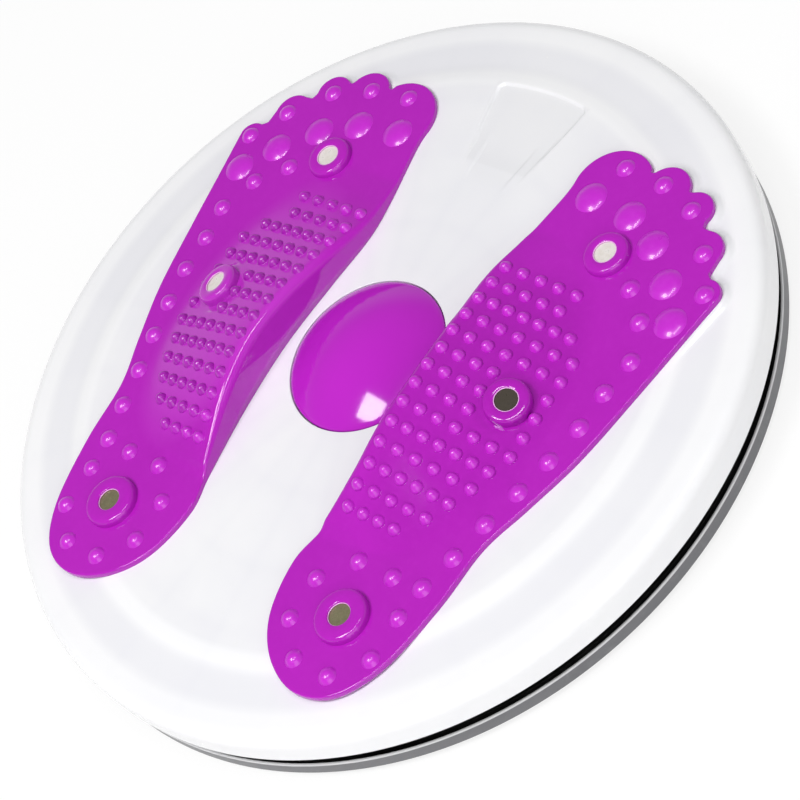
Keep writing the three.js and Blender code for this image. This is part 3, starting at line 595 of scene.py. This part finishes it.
def evenly(points, count):
    # The same line at count + 1 points, equally far apart along it
    walked = np.concatenate([[0], np.cumsum(np.linalg.norm(np.diff(points, axis=0), axis=1))])
    marks = np.linspace(0, walked[-1], count + 1)
    return np.stack([np.interp(marks, walked, points[:, i]) for i in range(2)], axis=-1)


def soleOutline():
    # Toe arcs x = cx + r cos a, y = cy + r sin a, notches between them, then one smooth edge round the heel
    outline = []
    for i, (across, along, radius, low, high) in enumerate(pad["toeShares"]):
        angles = np.radians(np.linspace(low, high, 40))[:, None]
        centre = padPlaces((across, along))
        outline.append(centre + radius * pad["length"] * np.concatenate([np.cos(angles), np.sin(angles)], axis=1))
        if i < len(pad["notchShares"]):
            outline.append(padPlaces([pad["notchShares"][i]]))
    toes = np.concatenate(outline)
    guide = np.concatenate([toes[-1:], padPlaces(pad["edgeShares"]), toes[:1]])
    whole = np.concatenate([toes, catmullRom(guide)[1:]])
    return evenly(whole, round(3 * pad["length"] / pad["outlineStep"]))[:-1]


def smoothed(loop, times):
    # Each point of a closed loop moves to the (1, 2, 1) / 4 mean of itself and its neighbours
    for _ in range(times):
        loop = 0.25 * (np.roll(loop, 1, axis=0) + 2 * loop + np.roll(loop, -1, axis=0))
    return loop


outline = smoothed(soleOutline(), 3)


def nearestIndex(share):
    return int(np.argmin(np.linalg.norm(outline - padPlaces(share), axis=1)))


bigToe = nearestIndex(pad["bigToeShare"])
innerHeel = nearestIndex(pad["innerHeelShare"])
innerLine = outline[bigToe:innerHeel + 1]
innerOrder = np.argsort(innerLine[:, 1])


def innerEdgeX(y):
    return np.interp(y, innerLine[innerOrder, 1], innerLine[innerOrder, 0])


def archSpan(y):
    # crest + (width - crest) (1 - s^3)^p, with s the share of the way to either end
    share = np.clip(np.abs(y) / arch["footReach"], 0, 1)
    return arch["crestInset"] + (arch["width"] - arch["crestInset"]) * (1 - share ** 3) ** arch["spanPower"]


def archRise(x, y):
    # Crest height h (1 - s^2)^2 along the foot, falling as 1 - u^q across it to a soft foot line
    reach = np.where(y > arch["peakY"], arch["frontReach"], arch["rearReach"])
    along = np.clip(np.abs(y - arch["peakY"]) / reach, 0, 1)
    crest = arch["height"] * (1 - along ** 2) ** 2
    inset = x - innerEdgeX(y) - arch["crestInset"]
    span = np.maximum(archSpan(y) - arch["crestInset"], 0.5)
    slope = softPositive(1 - np.clip(inset / span, 0, 2) ** arch["slopePower"], arch["footSoft"])
    return crest * slope * easeBetween(arch["footReach"], arch["footReach"] - arch["endFade"], np.abs(y))


def bossFrame(side, name):
    # Where a magnet's boss stands: its foot and its axis, from the magnet's own box
    low, high = nodeBox(f"{side}_{name}_magnet")
    way = 1 if side == "right" else -1
    tilt = way * bosses[name]["tilt"]
    axis = np.array([math.sin(tilt), 0, math.cos(tilt)])
    return (low + high) / 2 - axis * (magnet["seat"] + magnet["thickness"] / 2), axis


def nubPlaces():
    # Rows at even steps; a nub is left out where a magnet boss stands
    feet = np.array([bossFrame("right", name)[0][:2] for name in bosses])
    radii = np.array([boss["radius"] for boss in bosses.values()])
    rows = []
    for row, (count, shares) in enumerate(zip(nubs["perRow"], nubs["rowShares"])):
        first, last = (pad["spacing"] / 2 + pad["length"] * share for share in shares)
        y = np.full(count, nubs["frontY"] - row * nubs["rowPitch"])
        rows.append(np.stack([np.linspace(first, last, count), y], axis=-1))
    places = np.concatenate(rows)
    gaps = np.linalg.norm(places[:, None] - feet, axis=2) - radii
    return places[gaps.min(axis=1) > nubs["clearance"]]


def heelPlaces():
    heel = bossFrame("right", "heel")[0][:2]
    turns = 2 * math.pi * (np.arange(heelRing["count"]) + 0.5) / heelRing["count"]
    return heel + heelRing["ring"] * np.stack([np.cos(turns), np.sin(turns)], axis=-1)


def padHeight(x, y):
    # The arch, levelled to the tilted seat of its magnet boss near that boss
    rise = archRise(x, y)
    foot, axis = bossFrame("right", "arch")
    plane = foot[2] - (axis[0] * (x - foot[0]) + axis[1] * (y - foot[1])) / axis[2] - padTop
    inner, outer = bosses["arch"]["radius"] + np.array(bossShape["level"])
    near = easeBetween(outer, inner, np.hypot(x - foot[0], y - foot[1]))
    return padTop + rise * (1 - near) + plane * near


def loopDistance(points, loop):
    # Distance to a closed loop, negative inside it
    nearest = np.full(len(points), 1e9)
    inside = np.zeros(len(points), bool)
    for start, end in zip(loop, np.roll(loop, -1, axis=0)):
        side = end - start
        share = np.clip(((points - start) @ side) / (side @ side), 0, 1)
        nearest = np.minimum(nearest, np.linalg.norm(points - start - share[:, None] * side, axis=1))
        crosses = (start[1] > points[:, 1]) != (end[1] > points[:, 1])
        height = side[1] if side[1] != 0 else 1e-9
        inside ^= crosses & (points[:, 0] < start[0] + (points[:, 1] - start[1]) * side[0] / height)
    return np.where(inside, -nearest, nearest)


def filledLoop(loop, step, edge):
    # Triangles over the inside of a loop, with a point on every place of a grid of staggered rows
    low, high = loop.min(axis=0), loop.max(axis=0)
    across, along = np.meshgrid(np.arange(low[0], high[0], step), np.arange(low[1], high[1], step * 0.87))
    across[1::2] += 0.5 * step
    grid = np.stack([across.ravel(), along.ravel()], axis=-1)
    places = np.concatenate([loop, grid[loopDistance(grid, loop) < -edge]])
    made = delaunay_2d_cdt([Vector(place) for place in places], [], [list(range(len(loop)))], 1, 1e-5)
    return np.array([tuple(place) for place in made[0]]), [list(face) for face in made[2]]


def padSurface():
    # The filled outline at the pad's height, then rings that round its edge and drop to the disc
    loop = outline[::3]
    tangent = np.roll(loop, -1, axis=0) - np.roll(loop, 1, axis=0)
    outward = np.stack([tangent[:, 1], -tangent[:, 0]], axis=-1)
    outward /= np.linalg.norm(outward, axis=1, keepdims=True)
    bottom = discTop - pad["sink"]
    edgeCrest = padHeight(*(loop - outward * pad["edgeInset"]).T)
    rounding = smoothed(np.minimum(pad["edgeRound"], pad["roundShare"] * (edgeCrest - bottom)), 12)
    lean = pad["draft"] * (edgeCrest - bottom)
    rim = loop - outward * (rounding + lean + pad["flatInset"])[:, None]
    top, faces = filledLoop(rim, pad["grid"], pad["gridEdge"])
    crest = padHeight(rim[:, 0], rim[:, 1])
    wall = crest - bottom
    # Round: inset = lean + R (1 - sin a), drop = R (1 - cos a); then straight down the leaning wall
    rings = [np.concatenate([rim, crest[:, None]], axis=1)]
    for angle in np.radians(np.linspace(*pad["roundAngles"])):
        inset = lean + rounding * (1 - math.sin(angle))
        height = crest - rounding * (1 - math.cos(angle))
        rings.append(np.concatenate([loop - outward * inset[:, None], height[:, None]], axis=1))
    for share in pad["wallShares"]:
        height = crest - rounding - share * (wall - rounding)
        rings.append(np.concatenate([loop - outward * (lean * (1 - share))[:, None], height[:, None]], axis=1))
    points = np.concatenate([np.column_stack([top, padHeight(top[:, 0], top[:, 1])])] + rings)
    faces += (gridFaces(len(rings), len(loop), True) + len(top)).tolist()
    faces.append((len(points) - 1 - np.arange(len(loop))).tolist())
    return points, faces


def bumpShape(sizes, sides, rings):
    # z = h (1 - q^p) at the share q of the radius, closer together towards the foot, then a sunken stem
    share = np.sin(0.5 * math.pi * np.linspace(0, 1, rings + 1))
    dome = np.stack([share * sizes["radius"], sizes["height"] * (1 - share ** sizes["power"])], axis=-1)
    profile = np.concatenate([dome, [(sizes["radius"], -bumpSink), (0.0, -bumpSink)]])
    return turned(profile, evenAngles(sides)), gridFaces(len(profile), sides, True)


def addBumps(name, groups, sides, rings):
    # Each group: places on the right pad, and the sizes of its shape
    points, faces, count = [], [], 0
    for places, sizes in groups:
        shape, quads = bumpShape(sizes, sides, rings)
        shape = shape.reshape(-1, 3)
        feet = np.concatenate([places, padHeight(places[:, 0], places[:, 1])[:, None]], axis=1)
        points.append((feet[:, None] + shape).reshape(-1, 3))
        offsets = count + np.arange(len(feet))[:, None, None] * len(shape)
        faces += (quads[None] + offsets).reshape(-1, 4).tolist()
        count += len(feet) * len(shape)
    points = np.concatenate(points)
    for side, way in (("right", 1), ("left", -1)):
        makePiece(side + name, points * [way, 1, 1], faces, "turntable", "pad_vinyl", finish="padRaisedLit")


def addPads():
    points, faces = padSurface()
    for side, way in (("right", 1), ("left", -1)):
        makePiece(f"{side}PadSkin", points * [way, 1, 1], faces, "turntable", "pad_vinyl", [f"{side}_foot_pad"])
    addBumps("ArchNubs", [(nubPlaces(), nubs)], nubs["sides"], nubs["rings"])
    large = [(padPlaces(sizes["shares"]), sizes) for sizes in domes.values()]
    addBumps("SoleDomes", large + [(heelPlaces(), heelRing)], domeGrid["sides"], domeGrid["rings"])


def addBosses():
    # An upright ring with a slightly crowned top about each magnet, and a thin pale bead round its mouth as a painted
    # highlight line
    shape = bossShape
    sink, mouth = shape["sink"], magnet["window"]
    for side in ("left", "right"):
        for name, boss in bosses.items():
            foot, axis = bossFrame(side, name)
            turn = np.array(Matrix.Rotation(math.atan2(axis[0], axis[2]), 3, "Y"))
            radius, pieceName = boss["radius"], f"{side}{name.capitalize()}Boss"
            top = magnet["seat"] + magnet["thickness"] + magnet["seat"] + boss["lip"]
            floor = top - boss["lip"] + shape["clearance"]
            corners = [
                (radius, -sink, 0), (radius, top - boss["fall"], boss["shoulder"]),
                (boss["crest"], top, shape["crestRound"]), (mouth, top - shape["mouthDrop"], boss["mouthRound"]),
                (mouth, floor, 0), (mouth + shape["flange"], floor, 0), (radius - shape["wall"], -sink, 0),
            ]
            profile = refined(roundedChain(corners, True), shape["step"])
            points = turned(profile, evenAngles(shape["sides"])) @ turn.T + foot
            faces = gridFaces(len(profile), shape["sides"], True)
            makePiece(pieceName, points, faces, "turntable", "pad_vinyl")
            around = np.linspace(0, 2 * math.pi, 9)
            thick = shape["beadRadius"]
            across, up = mouth + thick * np.cos(around), floor + shape["beadLift"] + thick * np.sin(around)
            bead = np.stack([across, up], axis=-1)
            points = turned(bead, evenAngles(shape["beadSides"])) @ turn.T + foot
            faces = gridFaces(len(bead), shape["beadSides"], True)
            makePiece(pieceName + "Lip", points, faces, "turntable", "pad_vinyl", finish="padLipHighlight")


# Top disc

capLow, capHigh = nodeBox("centre_cap")
cap = {
    "wall": 1.8, "rimInset": 0.5, "sides": 192, "rings": 30, "sharp": 50,
    "edge": [(-0.2, 0.02), (-0.03, -0.2), (0.0, -0.5)],
}


def markDepthAt(x, y):
    # How far inside the keystone a point lies: the rounded distance to its two sides, arc and inner end
    slant = math.atan(disc["markSpread"])
    middle = 0.5 * disc["markInnerWidth"] + (y - disc["markInner"]) * disc["markSpread"]
    sideGap = (np.abs(x) - middle) * math.cos(slant)
    endGap = np.maximum(np.hypot(x, y) - disc["markArc"], disc["markInner"] - y)
    corner = np.where(y < 0.5 * (disc["markInner"] + disc["markArc"]), *disc["markCorners"])
    away = np.hypot(np.maximum(sideGap + corner, 0), np.maximum(endGap + corner, 0)) - corner
    within = np.minimum(np.maximum(sideGap, endGap) + corner, 0)
    return disc["markDepth"] * easeBetween(0, -disc["markSoft"], away + within)


def discStep(radius):
    # Longest stretch of the shell's profile: fine over the keystone, coarse near the hub
    if radius > disc["markArc"] + 2:
        return disc["outerStep"]
    return disc["markStep"] if radius > disc["markInner"] - 3 else disc["innerStep"]


def addDisc():
    # The turned shell, lowered inside the keystone and raised to the flat under each pad
    low, high = nodeBox("top_disc")
    radius, lip = high[0], low[2]
    recess = capHigh[0] + disc["capGap"]
    floor = capLow[2] - 0.1
    shoulderZ = discTop - disc["shoulderRise"] - disc["shoulderRound"] * math.sqrt(0.5) + disc["shoulderRound"]
    wall = disc["wall"]
    stepEnd = disc["flatRadius"] + disc["stepWidth"]
    corners = [
        (disc["bore"], floor, 0.2), (recess, floor, 0.3), (recess, discTop, 0.35), (disc["flatRadius"], discTop, 2.5),
        (stepEnd, discTop - disc["stepDrop"], 2.5), (radius, shoulderZ, disc["shoulderRound"]),
        (radius - disc["skirtTuck"], lip, 0.9), (radius - disc["skirtTuck"] - wall, lip, 0.9),
        (radius - wall, shoulderZ - wall, disc["shoulderRound"] - wall),
        (stepEnd, discTop - disc["stepDrop"] - wall, 1), (disc["flatRadius"], discTop - wall, 1),
        (recess + wall, discTop - wall, 0.5), (recess + wall, floor - wall, 0.5), (disc["bore"], floor - wall, 0.2),
    ]
    profile = refined(roundedChain(corners, True), discStep)
    # Angles crowd by 1 + c exp(-((a - 90 degrees) / w)^4), round the keystone
    crowd = np.linspace(0, 2 * math.pi, 4001)
    density = 1 + disc["crowding"] * np.exp(-((crowd - math.pi / 2) / disc["crowdReach"]) ** 4)
    walked = np.concatenate([[0], np.cumsum(0.5 * (density[1:] + density[:-1]))])
    angles = np.interp(np.arange(disc["angles"]) / disc["angles"] * walked[-1], walked, crowd)
    points = turned(profile, angles)
    # Only the shell's outside is shaped, and it is raised beside the front half of each pad
    upper = points[..., 2] > discTop - wall + 0.2
    x, y = points[..., 0], points[..., 1]
    points[..., 2] -= np.where(upper, markDepthAt(x, y), 0)
    band = upper & (np.hypot(x, y) > disc["flatRadius"] - 3) & (np.abs(x) > 20) & (y > -20)
    away = loopDistance(np.stack([np.abs(x[band]), y[band]], axis=-1), outline[::4])
    lift = easeBetween(disc["islandMargin"] + disc["islandSlope"], disc["islandMargin"], away)
    points[band, 2] += (discTop - points[band, 2]) * lift
    faces = gridFaces(len(profile), len(angles), True)
    makePiece("discShell", points, faces, "turntable", "disc_plastic", ["top_disc"])


def capArc(bend, reach, centreZ):
    # z = c + sqrt(b^2 - r^2) from the middle out to the reach
    return [(r, centreZ + math.sqrt(bend ** 2 - r ** 2)) for r in np.linspace(0, 1, cap["rings"]) * reach]


def addCap():
    # A dome on the sphere through its rim and its crown, over a short skirt
    radius, crown, foot = capHigh[0], capHigh[2], capLow[2]
    rise = crown - discTop
    bend = (radius ** 2 + rise ** 2) / (2 * rise)
    wall = cap["wall"]
    edge = [(radius + outwards, discTop + up) for outwards, up in cap["edge"]]
    skirt = [(radius, foot), (radius - wall, foot)]
    outer = capArc(bend, radius - cap["rimInset"], crown - bend)
    inner = capArc(bend - wall, radius - wall, crown - bend)[::-1]
    profile = np.array(outer + edge + skirt + inner)
    points = turned(profile, evenAngles(cap["sides"]))
    faces = gridFaces(len(profile), cap["sides"], True)
    makePiece("capDome", points, faces, "turntable", "cap_plastic", ["centre_cap"], cap["sharp"])


# Base and bearing

base = {
    "wall": 2.5, "floorWall": 2.5, "rimHeight": 6.2, "shieldInset": 4.9, "shieldWall": 1.8, "coverGap": 0.3,
    "coverInset": 0.3,
}
grip = {
    "count": 6, "radius": 9.0, "treadDepth": 0.35, "treads": (2.2, 4.6, 7.0), "treadWidth": 1.2, "grooveWidth": 0.6,
    "slope": 0.3, "middle": 1.6, "thickness": 2.6, "stem": 2.4, "barb": 3.4, "barbHeight": 4.1,
}
bearing = {
    "bore": 4.3, "groove": 1.0, "grooveHalf": 3.0, "grooveExtra": 0.35, "grooveRound": 2.6, "balls": 12,
    "ballSides": 40, "ballRings": 21,
}


def addBase():
    # Dished plate: rounded rim, floor, shield wall and hub, with a rebate for the nut cover
    low, high = nodeBox("base_plate")
    radius, bottom, shieldTop = high[0], low[2], high[2]
    floor, rim = bottom + base["floorWall"], bottom + base["rimHeight"]
    shield = radius - base["shieldInset"]
    coverLow, cover = nodeBox("nut_cover")
    spacer = nodeBox("hub_spacer")
    hub, hubTop = spacer[1][0], spacer[0][2] - 0.1
    rebate = cover[0] + base["coverGap"]
    ceiling = cover[2] + 0.1
    pocket = nodeBox("lower_washer")[1]
    corners = [
        (bearing["bore"], hubTop, 0), (hub, hubTop, 0.5), (hub, floor, 0.8), (shield - base["shieldWall"], floor, 0.8),
        (shield - base["shieldWall"], shieldTop, 0.4), (shield, shieldTop, 0.4), (shield, floor, 0.5),
        (radius - base["wall"], floor, 0.4), (radius - 1.0, rim - 0.6, 0.2), (radius - 0.8, rim, 0.15),
        (radius - 0.2, rim, 0.15), (radius, rim - 0.4, 0.2), (radius, bottom + 0.6, 0.5),
        (radius - 1.4, bottom, 0.6), (rebate, bottom, 0.4), (rebate, ceiling, 0.2),
        (pocket[0] + 1, ceiling, 0.2), (pocket[0] + 1, pocket[2] + 0.1, 0.2), (bearing["bore"], pocket[2] + 0.1, 0),
    ]
    turnedPiece("baseDish", corners, "base", "base_plastic", ["base_plate"], sides=256, step=6.0)
    foot, inset = coverLow[2], coverLow[2] + base["coverInset"]
    plate = [
        (0, cover[2], 0), (cover[0], cover[2], 0.2), (cover[0], foot, 0.35), (cover[0] * 0.72, foot, 0.3),
        (cover[0] * 0.68, inset, 0.2), (0, inset, 0),
    ]
    turnedPiece("nutCoverPlate", plate, "base", "base_plastic", ["nut_cover"], sides=96, closed=False)


def addFeet():
    # Soft feet with ring treads, on stems pushed through the base
    for i in range(grip["count"]):
        name = f"rubber_foot_{i + 1}"
        low, high = nodeBox(name)
        centre = (low[:2] + high[:2]) / 2
        ground, raised, shoulder = low[2] + np.array([0.0, grip["treadDepth"], grip["thickness"]])
        barb = low[2] + grip["barbHeight"]
        radius, stem = grip["radius"], grip["stem"]
        corners = [(0, raised, 0), (grip["middle"], raised, 0.3)]
        for ring in grip["treads"]:
            end = ring + grip["treadWidth"]
            corners += [(ring, ground, 0.25), (end, ground, 0.25)]
            corners += [(end + grip["slope"], raised, 0.15), (end + grip["slope"] + grip["grooveWidth"], raised, 0.15)]
        corners = corners[:-2] + [
            (radius, ground + 0.6, 0.5), (radius, shoulder, 0.3), (stem, shoulder, 0.2), (stem, barb, 0.1),
            (grip["barb"], barb, 0.2), (stem, high[2], 0.4), (0, high[2], 0),
        ]
        turnedPiece(
            f"footGrip{i + 1}", corners, "base", "foot_rubber", [name], sides=64, closed=False, centre=centre, steps=4,
        )


def addBearing():
    # Grooved races, bright balls, and the flat rings of the pivot
    ballLow, ballHigh = nodeBox("ball_1")
    for name, body, way in (("lower_race", "base", 1), ("upper_race", "turntable", -1)):
        low, high = nodeBox(name)
        outer = high[0]
        track = 0.5 * (ballLow[0] + ballHigh[0])
        inner = 2 * track - outer
        flat, face = (low[2], high[2]) if way > 0 else (high[2], low[2])
        depth = face - way * bearing["groove"]
        half = bearing["grooveHalf"]
        corners = [
            (inner, flat, 0.2), (outer, flat, 0.2), (outer, face, 0.2), (track + half, face, 0.3),
            (track, depth - way * bearing["grooveExtra"], bearing["grooveRound"]), (track - half, face, 0.3),
            (inner, face, 0.2),
        ]
        turnedPiece(name.replace("_race", "Raceway"), corners, body, "steel", [name], sides=192)
    sides, rings = bearing["ballSides"], bearing["ballRings"]
    polar = np.linspace(-math.pi / 2, math.pi / 2, rings)
    for i in range(bearing["balls"]):
        name = f"ball_{i + 1}"
        low, high = nodeBox(name)
        radius = (high[2] - low[2]) / 2
        profile = np.stack([radius * np.cos(polar), radius * np.sin(polar)], axis=-1)
        points = turned(profile, evenAngles(sides)) + (low + high) / 2
        makePiece(f"steelBall{i + 1}", points, gridFaces(rings, sides, True), "ball_ring", "ball_steel", [name])
    flat = (("hub_spacer", "base", "nylon"), ("lower_washer", "base", "steel"), ("head_washer", "turntable", "steel"))
    for name, body, slot in flat:
        low, high = nodeBox(name)
        bore, outer = bearing["bore"], high[0]
        corners = [(bore, low[2], 0.1), (outer, low[2], 0.15), (outer, high[2], 0.15), (bore, high[2], 0.1)]
        turnedPiece(name.replace("_", "") + "Ring", corners, body, slot, [name], sides=64)


# Studio: pale floor, soft light and the photograph's camera

studio = {
    "cameraPlace": (636.5, -214.8, 706.1), "cameraAim": (20.4, -8.8, 24.4), "cameraRoll": 42.43, "lens": 129.8,
    "floorSize": 8.0, "floorDrop": 0.0002, "floorWhite": (0.95, 0.95, 0.95), "floorGlow": 0.82,
    "skyLow": 0.62, "skyHigh": 0.25, "skyStart": 0.2, "skyEnd": 0.5,
    "lamps": {
        "keyLamp": {"way": (-0.04, -0.385, 0.90), "distance": 1.5, "size": (0.46, 0.46), "power": 11.2},
        "stripLamp": {"way": (0.29, -0.03, 0.94), "distance": 1.5, "size": (0.95, 0.15), "power": 6.8},
        "fillLamp": {"way": (0.78, -0.42, 0.46), "distance": 2.2, "size": (1.6, 1.6), "power": 14.0},
    },
}


def addCamera():
    data = bpy.data.cameras.new("camera")
    data.lens = studio["lens"]
    data.sensor_width = 36.0
    camera = bpy.data.objects.new("camera", data)
    bpy.context.scene.collection.objects.link(camera)
    place = Vector(studio["cameraPlace"]) * mm
    aim = Vector(studio["cameraAim"]) * mm
    turn = (aim - place).to_track_quat("-Z", "Y").to_matrix().to_4x4()
    roll = Matrix.Rotation(-math.radians(studio["cameraRoll"]), 4, "Z")
    camera.matrix_world = Matrix.Translation(place) @ turn @ roll
    bpy.context.scene.camera = camera


def addLamps():
    for name, lamp in studio["lamps"].items():
        data = bpy.data.lights.new(name, "AREA")
        data.shape = "RECTANGLE"
        data.size, data.size_y = lamp["size"]
        data.energy = lamp["power"]
        light = bpy.data.objects.new(name, data)
        way = Vector(lamp["way"]).normalized()
        turn = way.to_track_quat("Z", "Y").to_matrix().to_4x4()
        light.matrix_world = Matrix.Translation(way * lamp["distance"]) @ turn
        bpy.context.scene.collection.objects.link(light)


def addFloor():
    size, low = studio["floorSize"], -studio["floorDrop"]
    mesh = bpy.data.meshes.new("floor")
    corners = [(-size, -size, low), (size, -size, low), (size, size, low), (-size, size, low)]
    mesh.from_pydata(corners, [], [(0, 1, 2, 3)])
    floor = bpy.data.objects.new("floor", mesh)
    bpy.context.scene.collection.objects.link(floor)
    made = Finish("floor_paper", roughness=0.9, specular=0.0)
    made.shader.inputs["Base Color"].default_value = (*studio["floorWhite"], 1.0)
    glow = made.node("ShaderNodeEmission", {}, {"Color": (1, 1, 1, 1), "Strength": 1.0})
    seen = backgroundShare(made) * studio["floorGlow"]
    mixed = made.node("ShaderNodeMixShader", {}, {0: seen, 1: Value(made, made.shader.outputs[0]), 2: glow})
    made.tree.links.new(mixed.socket, made.tree.nodes["Material Output"].inputs["Surface"])
    mesh.materials.append(made.material)


def backgroundShare(finish):
    # 1 for rays from the camera, off gloss or through glass, 0 for light on the object
    names = ("Is Camera Ray", "Is Glossy Ray", "Is Transmission Ray")
    camera, glossy, through = finish.outputs("ShaderNodeLightPath", {}, names)
    total = camera + glossy + through
    return total.join("MINIMUM", total, 1.0)


def addSky():
    # White near the horizon and dimmer overhead; the camera sees it white all over
    world = bpy.data.worlds.new("sky")
    bpy.context.scene.world = world
    world.use_nodes = True
    world.node_tree.nodes.clear()
    sky = Graph(world.node_tree)
    place = sky.node("ShaderNodeTexCoord", {}, {}, "Generated")
    up = sky.node("ShaderNodeSeparateXYZ", {}, {0: place}, "Z")
    ends = {1: studio["skyStart"], 2: studio["skyEnd"], 3: studio["skyLow"], 4: studio["skyHigh"]}
    level = sky.node("ShaderNodeMapRange", {"interpolation_type": "SMOOTHSTEP"}, {0: up, **ends})
    seen = sky.node("ShaderNodeLightPath", {}, {}, "Is Camera Ray")
    strength = sky.node("ShaderNodeMix", {}, {0: seen, 2: level, 3: 1.0})
    light = sky.node("ShaderNodeBackground", {}, {"Strength": strength})
    output = sky.tree.nodes.new("ShaderNodeOutputWorld")
    sky.tree.links.new(light.socket, output.inputs[0])


addCamera()
addLamps()
addFloor()
addSky()
bpy.context.scene.view_settings.view_transform = "Standard"
print("stage: camera and light set")
addPads()
addBosses()
print("stage: pads made")
addDisc()
addCap()
print("stage: disc made")
addBase()
addFeet()
addBearing()
print("stage: base and bearing made")
